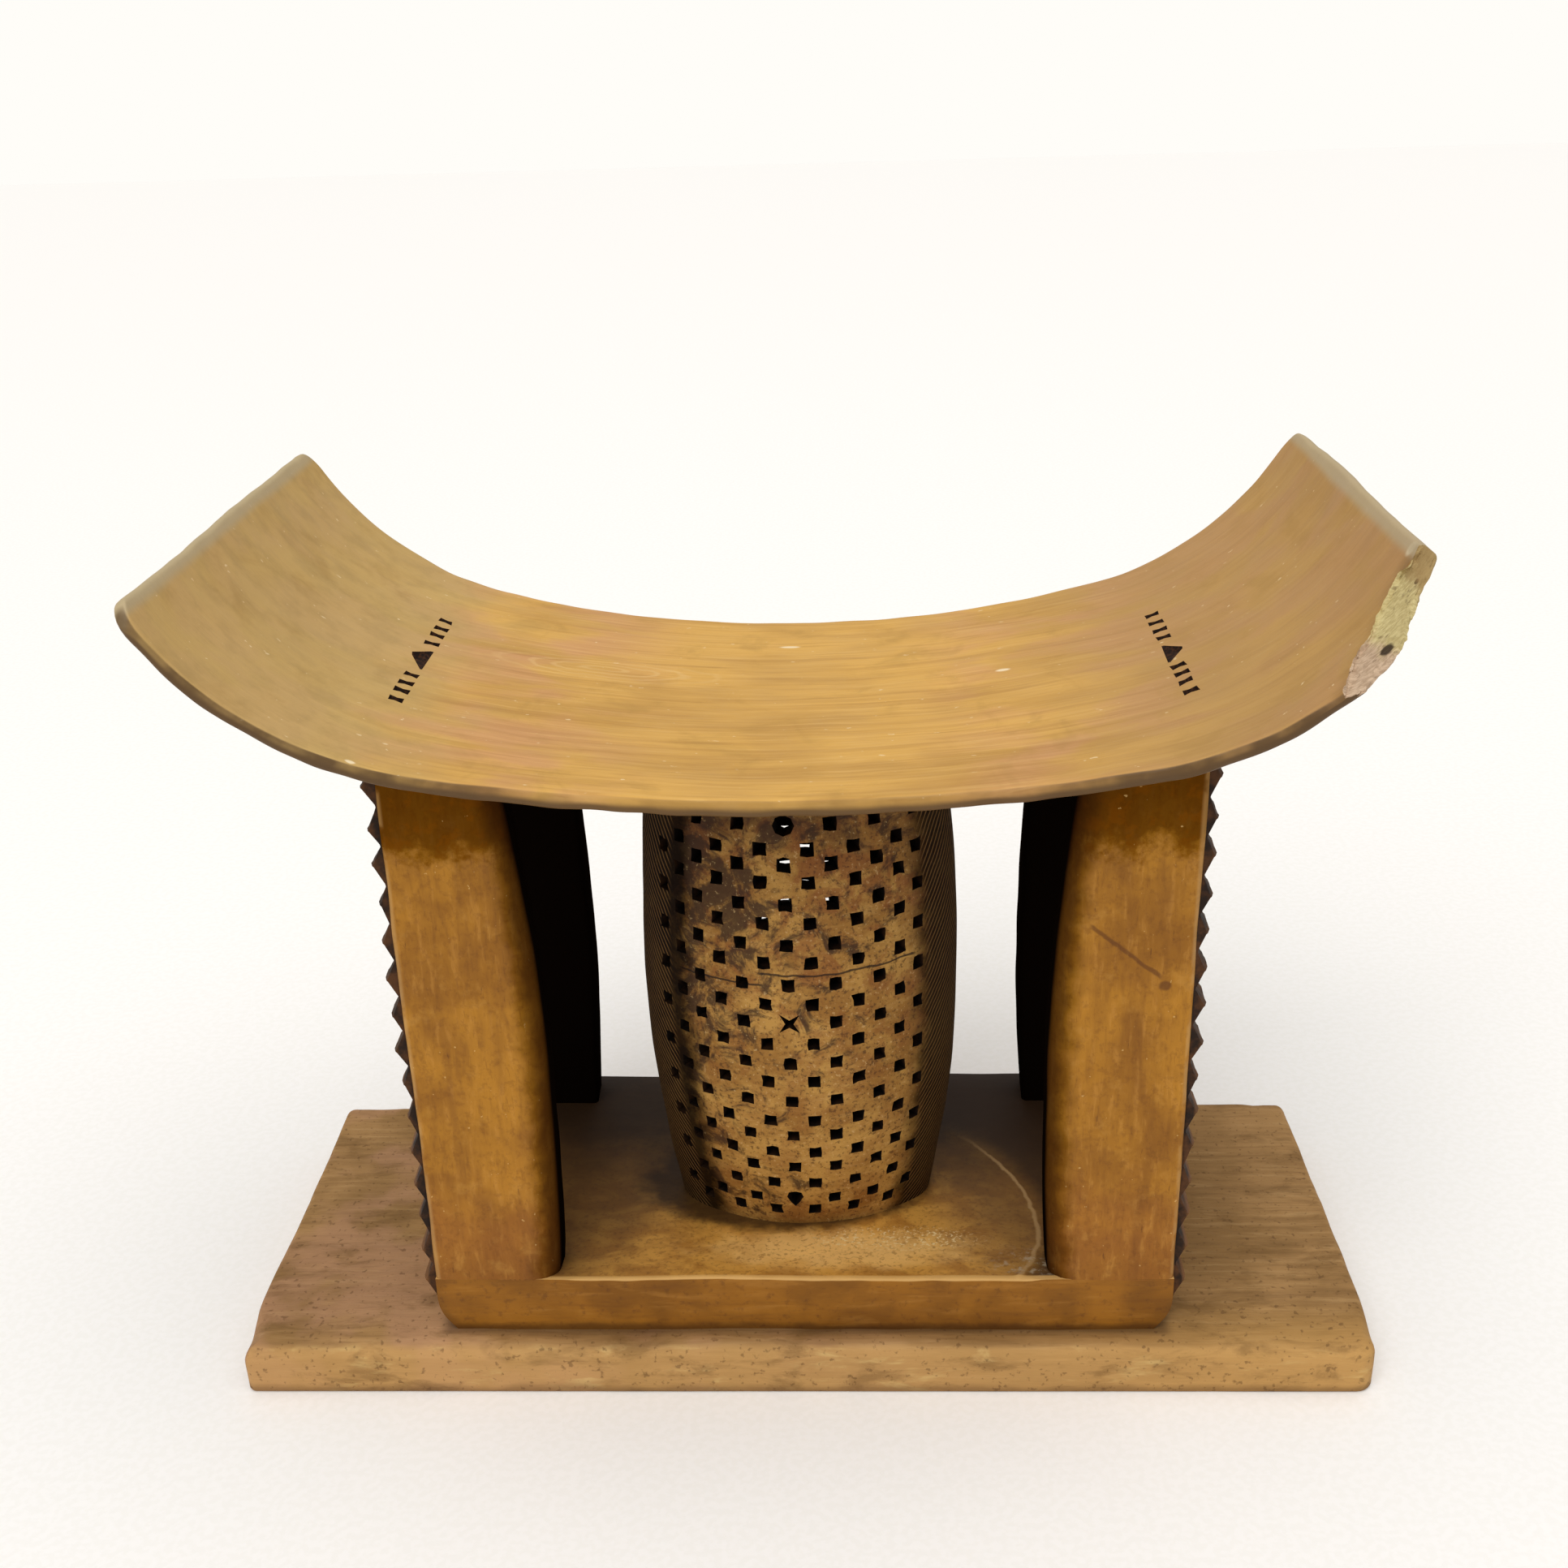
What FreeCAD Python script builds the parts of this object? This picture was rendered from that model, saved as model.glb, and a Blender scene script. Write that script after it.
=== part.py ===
import FreeCAD, Part
import math
import os

# An Ashanti stool, carved from one block of wood, in millimetres.
# X runs to the right, Y to the back and Z up.
# The origin is on the ground, under the middle of the stool.

# One overrun serves every cut.
CUT_OVERRUN = 5.0

# Base slab
BASE_LENGTH = 432.0
BASE_DEPTH = 165.0
BASE_HEIGHT = 21.5
BASE_TOP_ROUND = 4.5
BASE_FOOT_CHAMFER = 1.3
BASE_CORNER_CORE = 1.5

# Plinth: the hollow in its floor runs from lip to lip,
# and its end corners are tucked in where they meet the base slab.
PLINTH_LENGTH = 280.0
PLINTH_DEPTH = 144.0
PLINTH_HEIGHT = 23.6
PLINTH_FRONT_LIP = 2.0
PLINTH_BACK_LIP = 11.0
PLINTH_HOLLOW = 6.5
PLINTH_TUCK = 7.0
PLINTH_TUCK_HEIGHT = 14.0

# Corner posts: flat outside and bowed inside, widest at the waist.
POST_WIDTH = 49.5
POST_DEPTH = 20.0
POST_WAIST_HEIGHT = 125.0
POST_BOW_RADIUS = 1025.0
POST_EDGE_ROUND = 8.5

# Serrated edges, one along the outside of each post.
TOOTH_COUNT = 15
TOOTH_DEPTH = 4.2
TOOTH_ROOT = 0.6
TOOTH_SETBACK = 2.0
TOOTH_SEAT_GAP = 6.0

# Column: an oval barrel. Its plan has a round side at each end and a flatter arc
# for each face, which bows out past the round sides. Its wall bulges to the belly.
# The blade leaves it in narrow flats: one for each upright row of holes and a few round
# each side, in level bands that meet between the rows.
COLUMN_SIDE_RADIUS = 32.0
COLUMN_SIDE_OFFSET = 29.2
COLUMN_FACE_BOW = 14.0
COLUMN_BELLY_HEIGHT = 150.0
COLUMN_BULGE_RADIUS = 627.0
COLUMN_SIDE_FLAT_COUNT = 6
COLUMN_BAND_ROWS = 6
COLUMN_WALL = 8.0

# Lattice of holes in the front and back of the column, which leaves a narrow strip
# bare on each side. The rows are staggered, and the carver spaced them by eye.
LATTICE_SEAT_GAP = 22.1
LATTICE_FOOT_GAP = 15.8
LATTICE_ROW_SHARES = (0.0, 0.089, 0.181, 0.277, 0.376, 0.474, 0.581, 0.687, 0.79, 0.89, 1.0)
LATTICE_BARE_ANGLE = 4.1
LATTICE_SIDE_COLUMNS = 6
HOLE_WIDTH = 4.5
HOLE_HEIGHT = 5.0
ROUND_HOLE_DIAMETER = 8.0
STAR_ROW = 5
STAR_SPAN = 11.0
STAR_WAIST = 3.2
DROP_WIDTH = 6.5
DROP_HEIGHT = 9.5

# Seat: a shallow middle arc that turns up into a tighter arc at each end.
# It is thick over the posts and thin along its edges.
SEAT_CENTRE_HEIGHT = 252.3
SEAT_MIDDLE_RADIUS = 573.0
SEAT_MIDDLE_ANGLE = 12.1
SEAT_END_RADIUS = 121.2
SEAT_END_ANGLE = 61.9
SEAT_CORE_THICKNESS = 11.0
SEAT_EDGE_THICKNESS = 4.6
SEAT_CORE_DEPTH = 90.0
SEAT_MIDDLE_DEPTH = 188.0
SEAT_END_DEPTH = 215.4
SEAT_CORNER_ROUND = 8.0

# Break at the seat's right front corner: how far it runs along the end and
# along the front edge, and how far its lower layer stands out from its upper one.
BREAK_END_LENGTH = 39.0
BREAK_FRONT_LENGTH = 28.0
BREAK_LEDGE = 12.0

HALF_PLINTH = PLINTH_LENGTH / 2
FLOOR_HEIGHT = BASE_HEIGHT + PLINTH_HEIGHT
FLOOR_LOW_HEIGHT = FLOOR_HEIGHT - PLINTH_HOLLOW
TUCK_TOP_HEIGHT = BASE_HEIGHT + PLINTH_TUCK_HEIGHT


def at(x, y, z):
    return FreeCAD.Vector(x, y, z)


def line(start, end):
    return Part.makeLine(start, end)


def arc(start, middle, end):
    return Part.Arc(start, middle, end).toShape()


def polygon(points):
    """The lines from point to point, back to the first one."""
    return [line(start, end) for start, end in zip(points, points[1:] + points[:1])]


def prism(edges, direction):
    return Part.Face(Part.Wire(edges)).extrude(direction)


def arc_drop(radius, distance):
    """How far an arc has fallen away at a distance from its crown."""
    return radius - math.sqrt(radius ** 2 - distance ** 2)


# The seat's lines, seen from the front


class Arc:
    """An arc of the seat, measured by the angle from straight down."""

    def __init__(self, centre_x, centre_z, radius):
        self.centre_x = centre_x
        self.centre_z = centre_z
        self.radius = radius

    def point(self, angle, y, side=1):
        turn = math.radians(angle)
        x = self.centre_x + self.radius * math.sin(turn)
        z = self.centre_z - self.radius * math.cos(turn)
        return at(side * x, y, z)

    def angle_to(self, point):
        return math.degrees(math.atan2(point.x - self.centre_x, self.centre_z - point.z))

    def height_at(self, x):
        return self.centre_z - math.sqrt(self.radius ** 2 - (x - self.centre_x) ** 2)


def middle_arc(thickness):
    centre_z = SEAT_CENTRE_HEIGHT + SEAT_MIDDLE_RADIUS
    return Arc(0, centre_z, SEAT_MIDDLE_RADIUS + thickness)


def top_end_arc():
    joint = middle_arc(0).point(SEAT_MIDDLE_ANGLE, 0)
    turn = math.radians(SEAT_MIDDLE_ANGLE)
    centre_x = joint.x - SEAT_END_RADIUS * math.sin(turn)
    centre_z = joint.z + SEAT_END_RADIUS * math.cos(turn)
    return Arc(centre_x, centre_z, SEAT_END_RADIUS)


def seat_tip(depth=0):
    """The end of the seat's line, on its top or a thickness below it."""
    top = top_end_arc()
    return Arc(top.centre_x, top.centre_z, top.radius + depth).point(SEAT_END_ANGLE, 0)


def under_end_arc(thickness):
    """The arc that leaves the middle's underside without a kink and ends at the thin tip."""
    joint = middle_arc(thickness).point(SEAT_MIDDLE_ANGLE, 0)
    turn = math.radians(SEAT_MIDDLE_ANGLE)
    inward = at(-math.sin(turn), 0, math.cos(turn))
    run = seat_tip(SEAT_EDGE_THICKNESS).sub(joint)
    radius = run.dot(run) / (2 * inward.dot(run))
    centre = joint.add(inward * radius)
    return Arc(centre.x, centre.z, radius)


def seat_line(middle, end, end_angle, y):
    """Three arcs in a row, from the left tip to the right tip."""
    half_angle = (SEAT_MIDDLE_ANGLE + end_angle) / 2
    left_tip = end.point(end_angle, y, -1)
    left_joint = middle.point(SEAT_MIDDLE_ANGLE, y, -1)
    right_joint = middle.point(SEAT_MIDDLE_ANGLE, y)
    right_tip = end.point(end_angle, y)
    return [
        arc(left_tip, end.point(half_angle, y, -1), left_joint),
        arc(left_joint, middle.point(0, y), right_joint),
        arc(right_joint, end.point(half_angle, y), right_tip),
    ]


def seat_top_line(y):
    return seat_line(middle_arc(0), top_end_arc(), SEAT_END_ANGLE, y)


def seat_under_line(thickness, y):
    end = under_end_arc(thickness)
    return seat_line(middle_arc(thickness), end, end.angle_to(seat_tip(SEAT_EDGE_THICKNESS)), y)


def seat_top_height(x):
    joint = middle_arc(0).point(SEAT_MIDDLE_ANGLE, 0)
    return (middle_arc(0) if x < joint.x else top_end_arc()).height_at(x)


def seat_under_height(x):
    thickness = SEAT_CORE_THICKNESS
    joint = middle_arc(thickness).point(SEAT_MIDDLE_ANGLE, 0)
    return (middle_arc(thickness) if x < joint.x else under_end_arc(thickness)).height_at(x)


def seat_sections():
    """Where the seat's sections stand, and how thick it is there, past both edges."""
    core_y = SEAT_CORE_DEPTH / 2
    taper = (SEAT_CORE_THICKNESS - SEAT_EDGE_THICKNESS) / (SEAT_END_DEPTH / 2 - core_y)
    past_y = SEAT_END_DEPTH / 2 + CUT_OVERRUN
    past_thickness = SEAT_EDGE_THICKNESS - taper * CUT_OVERRUN
    return [
        (-past_y, past_thickness),
        (-core_y, SEAT_CORE_THICKNESS),
        (core_y, SEAT_CORE_THICKNESS),
        (past_y, past_thickness),
    ]


def end_point(edges, index):
    """The first or the last point of a row of edges."""
    edge = edges[index]
    return edge.valueAt(edge.FirstParameter if index == 0 else edge.LastParameter)


def seat_band():
    """The curved band that the seat is cut from."""
    wires = []
    for y, thickness in seat_sections():
        top = seat_top_line(y)
        under = seat_under_line(thickness, y)
        left_end = line(end_point(under, 0), end_point(top, 0))
        right_end = line(end_point(top, -1), end_point(under, -1))
        wires.append(Part.Wire(top + [right_end] + under[::-1] + [left_end]))
    return Part.makeLoft(wires, True, True)


def space_over_underside():
    """Everything above the seat's underside, which the members below are cut to."""
    roof_height = seat_tip().z + CUT_OVERRUN
    wires = []
    for y, thickness in seat_sections():
        under = seat_under_line(thickness, y)
        left = end_point(under, 0)
        right = end_point(under, -1)
        left_roof = at(left.x, y, roof_height)
        right_roof = at(right.x, y, roof_height)
        sides = [line(right, right_roof), line(right_roof, left_roof), line(left_roof, left)]
        wires.append(Part.Wire(under + sides))
    return Part.makeLoft(wires, True, True)


def seat_plan():
    """The seat's outline from above: its long edges curve in to a narrower middle."""
    tip_x = seat_tip().x
    middle_y = SEAT_MIDDLE_DEPTH / 2
    flare = SEAT_END_DEPTH / 2 - middle_y
    flare_radius = (tip_x ** 2 + flare ** 2) / (2 * flare)
    end_x = seat_tip(SEAT_EDGE_THICKNESS).x + CUT_OVERRUN
    end_y = middle_y + arc_drop(flare_radius, end_x)
    edges = [
        arc(at(-end_x, -end_y, 0), at(0, -middle_y, 0), at(end_x, -end_y, 0)),
        line(at(end_x, -end_y, 0), at(end_x, end_y, 0)),
        arc(at(end_x, end_y, 0), at(0, middle_y, 0), at(-end_x, end_y, 0)),
        line(at(-end_x, end_y, 0), at(-end_x, -end_y, 0)),
    ]
    return prism(edges, at(0, 0, seat_tip().z + 2 * CUT_OVERRUN))


def corner_cutter(side_x, side_y):
    """What lies outside the round of one seat corner, all through the seat's thickness."""
    top = seat_tip(-CUT_OVERRUN)
    corner = at(side_x * top.x, side_y * SEAT_END_DEPTH / 2, top.z)
    turn = math.radians(SEAT_END_ANGLE)
    inward = at(-side_x * math.cos(turn), 0, -math.sin(turn))
    along = at(0, -side_y, 0)
    through = at(side_x * math.sin(turn), 0, -math.cos(turn))
    crown = SEAT_CORNER_ROUND * (1 - math.sqrt(1 / 2))
    start = corner.add(inward * SEAT_CORNER_ROUND)
    end = corner.add(along * SEAT_CORNER_ROUND)
    past_start = start.sub(along * CUT_OVERRUN)
    past_end = end.sub(inward * CUT_OVERRUN)
    past_corner = corner.sub(along * CUT_OVERRUN).sub(inward * CUT_OVERRUN)
    edges = [
        arc(start, corner.add(inward * crown).add(along * crown), end),
        line(end, past_end),
        line(past_end, past_corner),
        line(past_corner, past_start),
        line(past_start, start),
    ]
    return prism(edges, through * (SEAT_CORE_THICKNESS + 2 * CUT_OVERRUN))


def break_cutter():
    """A block whose slanted face takes off the corner along the line of the break."""
    front_x = seat_tip().x - BREAK_FRONT_LENGTH
    end_start = seat_tip().add(at(0, BREAK_END_LENGTH - SEAT_END_DEPTH / 2, 0))
    front_start = at(front_x, -SEAT_END_DEPTH / 2, seat_top_height(front_x))
    along = front_start.sub(end_start).normalize()
    turn = math.radians(SEAT_END_ANGLE)
    down = at(math.sin(turn), 0, -math.cos(turn))
    outward = along.cross(down).normalize()
    slope = outward * BREAK_LEDGE + down * SEAT_CORE_THICKNESS
    slope.normalize()
    out = along.cross(slope).normalize()
    size = 2 * (BREAK_END_LENGTH + BREAK_FRONT_LENGTH)
    corner = end_start.sub(along * (size / 4)).sub(slope * (size / 2))
    far_corner = corner.add(along * size)
    points = [corner, far_corner, far_corner.add(slope * size), corner.add(slope * size)]
    return prism(polygon(points), out * size)


def seat():
    corners = [corner_cutter(side_x, side_y) for side_x in (-1, 1) for side_y in (-1, 1)]
    return seat_band().common(seat_plan()).cut(corners + [break_cutter()])


# The members below the seat


def base_slab():
    corner = at(-BASE_LENGTH / 2, -BASE_DEPTH / 2, 0)
    box = Part.makeBox(BASE_LENGTH, BASE_DEPTH, BASE_HEIGHT, corner)
    uprights = [edge for edge in box.Edges if edge.BoundBox.ZLength > BASE_HEIGHT / 2]
    box = box.makeFillet(BASE_TOP_ROUND + BASE_CORNER_CORE, uprights)
    rims = [edge for edge in box.Edges if edge.BoundBox.ZMin > BASE_HEIGHT / 2]
    box = box.makeFillet(BASE_TOP_ROUND, rims)
    feet = [edge for edge in box.Edges if edge.BoundBox.ZMax < BASE_FOOT_CHAMFER / 2]
    return box.makeChamfer(BASE_FOOT_CHAMFER, feet)


def plinth_block():
    """The plinth before its floor is hollowed, with the tucked corners at its ends."""
    tuck_radius = (PLINTH_TUCK ** 2 + PLINTH_TUCK_HEIGHT ** 2) / (2 * PLINTH_TUCK)
    half_turn = math.asin(PLINTH_TUCK_HEIGHT / tuck_radius) / 2
    middle_x = HALF_PLINTH - tuck_radius * (1 - math.cos(half_turn))
    middle_z = TUCK_TOP_HEIGHT - tuck_radius * math.sin(half_turn)
    front = -PLINTH_DEPTH / 2
    foot_x = HALF_PLINTH - PLINTH_TUCK
    right_foot = at(foot_x, front, BASE_HEIGHT)
    right_side = at(HALF_PLINTH, front, TUCK_TOP_HEIGHT)
    right_top = at(HALF_PLINTH, front, FLOOR_HEIGHT)
    left_foot = at(-foot_x, front, BASE_HEIGHT)
    left_side = at(-HALF_PLINTH, front, TUCK_TOP_HEIGHT)
    left_top = at(-HALF_PLINTH, front, FLOOR_HEIGHT)
    edges = [
        line(left_foot, right_foot),
        arc(right_foot, at(middle_x, front, middle_z), right_side),
        line(right_side, right_top),
        line(right_top, left_top),
        line(left_top, left_side),
        arc(left_side, at(-middle_x, front, middle_z), left_foot),
    ]
    return prism(edges, at(0, PLINTH_DEPTH, 0))


def floor_hollow():
    """The shallow trough in the plinth's floor."""
    front = -PLINTH_DEPTH / 2 + PLINTH_FRONT_LIP
    back = PLINTH_DEPTH / 2 - PLINTH_BACK_LIP
    start_x = -HALF_PLINTH - CUT_OVERRUN
    front_rim = at(start_x, front, FLOOR_HEIGHT)
    back_rim = at(start_x, back, FLOOR_HEIGHT)
    low = at(start_x, (front + back) / 2, FLOOR_LOW_HEIGHT)
    edges = [arc(front_rim, low, back_rim), line(back_rim, front_rim)]
    return prism(edges, at(PLINTH_LENGTH + 2 * CUT_OVERRUN, 0, 0))


def plinth():
    return plinth_block().cut(floor_hollow())


def post_inner_x(height):
    """Half the gap between left and right posts at a height."""
    waist_x = HALF_PLINTH - POST_WIDTH
    return waist_x + arc_drop(POST_BOW_RADIUS, height - POST_WAIST_HEIGHT)


def post(side_x, side_y, plinth_shape, over_underside):
    """A corner post, standing on the plinth and cut to the seat's underside."""
    face_y = side_y * PLINTH_DEPTH / 2
    top_height = seat_top_height(HALF_PLINTH)
    middle_height = (FLOOR_LOW_HEIGHT + top_height) / 2
    heights = (FLOOR_LOW_HEIGHT, middle_height, top_height)
    inner = [at(side_x * post_inner_x(height), face_y, height) for height in heights]
    outer_foot = at(side_x * HALF_PLINTH, face_y, FLOOR_LOW_HEIGHT)
    outer_top = at(side_x * HALF_PLINTH, face_y, top_height)
    edges = [
        arc(*inner),
        line(inner[-1], outer_top),
        line(outer_top, outer_foot),
        line(outer_foot, inner[0]),
    ]
    shape = prism(edges, at(0, -side_y * POST_DEPTH, 0))
    bowed = [edge for edge in shape.Edges if edge.Curve.TypeId == "Part::GeomCircle"]
    showing = min(bowed, key=lambda edge: abs(edge.CenterOfMass.y - face_y))
    shape = shape.makeFillet(POST_EDGE_ROUND, [showing])
    return shape.cut(plinth_shape).cut(over_underside)


def serrated_edge(side_x, side_y):
    """The row of teeth on the outside of a post, from the plinth's tuck up to the seat."""
    root_x = HALF_PLINTH + TOOTH_ROOT
    tip_x = root_x + TOOTH_DEPTH
    front_y = side_y * (PLINTH_DEPTH / 2 - TOOTH_SETBACK)
    top_height = seat_under_height(tip_x) - TOOTH_SEAT_GAP
    pitch = (top_height - TUCK_TOP_HEIGHT) / TOOTH_COUNT
    points = [at(side_x * HALF_PLINTH, front_y, TUCK_TOP_HEIGHT)]
    for tooth in range(TOOTH_COUNT):
        valley_height = TUCK_TOP_HEIGHT + tooth * pitch
        points.append(at(side_x * root_x, front_y, valley_height))
        points.append(at(side_x * tip_x, front_y, valley_height + pitch / 2))
    points.append(at(side_x * root_x, front_y, top_height))
    points.append(at(side_x * HALF_PLINTH, front_y, top_height))
    return prism(polygon(points), at(0, -side_y * (POST_DEPTH - 2 * TOOTH_SETBACK), 0))


# The column and its lattice


def face_centre():
    """How far behind the middle the centre of a face's arc lies."""
    return (COLUMN_SIDE_OFFSET ** 2 - COLUMN_FACE_BOW ** 2) / (2 * COLUMN_FACE_BOW)


def face_radius():
    return COLUMN_SIDE_RADIUS + COLUMN_FACE_BOW + face_centre()


def bulge_drop(height):
    """How far the wall has drawn in from its belly at a height."""
    return arc_drop(COLUMN_BULGE_RADIUS, height - COLUMN_BELLY_HEIGHT)


def joint_angle():
    """How far round a face its arc runs before it meets the round sides."""
    return math.degrees(math.atan2(COLUMN_SIDE_OFFSET, face_centre()))


def lattice_step_angle():
    return 2 * (joint_angle() - LATTICE_BARE_ANGLE) / (2 * LATTICE_SIDE_COLUMNS + 1)


def even_angles(half_angle, count):
    return [half_angle * (2 * index / count - 1) for index in range(count + 1)]


def column_outline(height, inset):
    """The corners of the column's plan at a height, or of the hollow inside its wall."""
    shrink = bulge_drop(height) + inset
    face_angles = even_angles(joint_angle() - LATTICE_BARE_ANGLE, 2 * LATTICE_SIDE_COLUMNS + 1)
    side_angles = even_angles(90 - joint_angle(), COLUMN_SIDE_FLAT_COUNT)
    arcs = (
        (0, face_centre(), face_radius(), -90, face_angles),
        (COLUMN_SIDE_OFFSET, 0, COLUMN_SIDE_RADIUS, 0, side_angles),
        (0, -face_centre(), face_radius(), 90, face_angles),
        (-COLUMN_SIDE_OFFSET, 0, COLUMN_SIDE_RADIUS, 180, side_angles),
    )
    corners = []
    for centre_x, centre_y, radius, middle_angle, angles in arcs:
        for angle in angles:
            turn = math.radians(middle_angle + angle)
            reach = radius - shrink
            x = centre_x + reach * math.cos(turn)
            y = centre_y + reach * math.sin(turn)
            corners.append(at(x, y, height))
    return corners


def lattice_rows():
    """Heights of the rows through the middle of a face, and of the rows between them."""
    top = SEAT_CENTRE_HEIGHT - SEAT_CORE_THICKNESS - LATTICE_SEAT_GAP
    bottom = FLOOR_LOW_HEIGHT + LATTICE_FOOT_GAP
    rows = [top - share * (top - bottom) for share in LATTICE_ROW_SHARES]
    between = [(high + low) / 2 for high, low in zip(rows, rows[1:])]
    between.append(rows[-1] - (rows[-2] - rows[-1]) / 2)
    return rows, between


def band_heights():
    """Where the bands end: inside the plinth, midway between two rows of holes, and inside the seat."""
    rows, between = lattice_rows()
    levels = sorted(rows + between)
    last_rows = range(COLUMN_BAND_ROWS - 1, len(levels) - 1, COLUMN_BAND_ROWS)
    joints = [(levels[row] + levels[row + 1]) / 2 for row in last_rows]
    return [FLOOR_LOW_HEIGHT - CUT_OVERRUN] + joints + [SEAT_CENTRE_HEIGHT]


def barrel(inset):
    """A solid barrel in flats and bands, or the hollow inside its wall."""
    rings = [column_outline(height, inset) for height in band_heights()]
    faces = [Part.Face(Part.Wire(polygon(rings[0]))), Part.Face(Part.Wire(polygon(rings[-1])))]
    for lower, upper in zip(rings, rings[1:]):
        corners = list(zip(lower, upper))
        for (low_a, high_a), (low_b, high_b) in zip(corners, corners[1:] + corners[:1]):
            faces.append(Part.Face(Part.Wire(polygon([low_a, low_b, high_b, high_a]))))
    return Part.Solid(Part.Shell(faces))


def wall_placement(height, face):
    """A frame on a face's centre line in the middle of the wall: X across, Y inward and Z up."""
    lean = math.asin((height - COLUMN_BELLY_HEIGHT) / COLUMN_BULGE_RADIUS)
    inward = at(0, -face * math.cos(lean), -math.sin(lean))
    across = at(-face, 0, 0)
    depth = COLUMN_SIDE_RADIUS + COLUMN_FACE_BOW - bulge_drop(height) - COLUMN_WALL / 2
    rotation = FreeCAD.Rotation(across, inward, across.cross(inward), "ZXY")
    return FreeCAD.Placement(at(0, face * depth, height), rotation)


def through_wall(edges):
    """A punch through the wall, from an outline about the frame's middle."""
    reach = COLUMN_WALL / 2 + CUT_OVERRUN
    outline = Part.Face(Part.Wire(edges))
    outline.translate(at(0, -reach, 0))
    return outline.extrude(at(0, 2 * reach, 0))


def square_punch(angle, height, face):
    """A level square hole, at right angles to the flat that it goes through."""
    middle = face_radius() - bulge_drop(height) - COLUMN_WALL / 2
    reach = COLUMN_WALL / 2 + CUT_OVERRUN
    corner = at(middle - reach, -HOLE_WIDTH / 2, height - HOLE_HEIGHT / 2)
    punch = Part.makeBox(2 * reach, HOLE_WIDTH, HOLE_HEIGHT, corner)
    punch.rotate(at(0, 0, 0), at(0, 0, 1), face * (90 - angle))
    punch.translate(at(0, -face * face_centre(), 0))
    return punch


def round_punch():
    return through_wall([Part.makeCircle(ROUND_HOLE_DIAMETER / 2, at(0, 0, 0), at(0, 1, 0))])


def star_punch():
    """A star with four points, turned to stand on two of them."""
    points = []
    corners = 8
    for corner in range(corners):
        turn = 2 * math.pi * corner / corners
        radius = (STAR_SPAN if corner % 2 else STAR_WAIST) / 2
        points.append(at(radius * math.cos(turn), 0, radius * math.sin(turn)))
    return through_wall(polygon(points))


def drop_punch():
    """A drop, round above and pointed below."""
    radius = DROP_WIDTH / 2
    centre_z = DROP_HEIGHT / 2 - radius
    left = at(-radius, 0, centre_z)
    right = at(radius, 0, centre_z)
    tip = at(0, 0, -DROP_HEIGHT / 2)
    return through_wall([arc(left, at(0, 0, DROP_HEIGHT / 2), right), line(right, tip), line(tip, left)])


def lattice_punches(face):
    """All holes of one face, with a round one, a star and a drop down its middle."""
    rows, between = lattice_rows()
    special = {0: round_punch(), STAR_ROW: star_punch(), len(rows) - 1: drop_punch()}
    punches = []
    for column_index in range(-LATTICE_SIDE_COLUMNS, LATTICE_SIDE_COLUMNS + 1):
        angle = column_index * lattice_step_angle()
        for row_index, height in enumerate(between if column_index % 2 else rows):
            if column_index == 0 and row_index in special:
                punch = special[row_index]
                punch.Placement = wall_placement(height, face)
            else:
                punch = square_punch(angle, height, face)
            punches.append(punch)
    return punches


def column(plinth_shape, over_underside):
    hollow = barrel(COLUMN_WALL)
    return barrel(0).cut([hollow, plinth_shape, over_underside] + lattice_punches(-1) + lattice_punches(1))


def stool():
    plinth_shape = plinth()
    over_underside = space_over_underside()
    pieces = {
        "base_slab": base_slab(),
        "plinth": plinth_shape,
        "column": column(plinth_shape, over_underside),
        "seat": seat(),
    }
    for depth_name, side_y in (("front", -1), ("back", 1)):
        for side_name, side_x in (("left", -1), ("right", 1)):
            corner = depth_name + "_" + side_name
            pieces["post_" + corner] = post(side_x, side_y, plinth_shape, over_underside)
            pieces["serrated_edge_" + corner] = serrated_edge(side_x, side_y)
    return pieces


os.makedirs("parts", exist_ok=True)
for name, shape in stool().items():
    shape.exportStep(os.path.join("parts", name + ".step"))
    print(name, "solids", len(shape.Solids), "valid", shape.isValid(), "volume", round(shape.Volume))
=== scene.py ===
import random
from collections import namedtuple
from math import asin, atan2, copysign, cos, dist, exp, hypot, pi, radians, sin, sqrt, tan

import bmesh
import bpy
from mathutils import Matrix, Vector, noise


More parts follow.
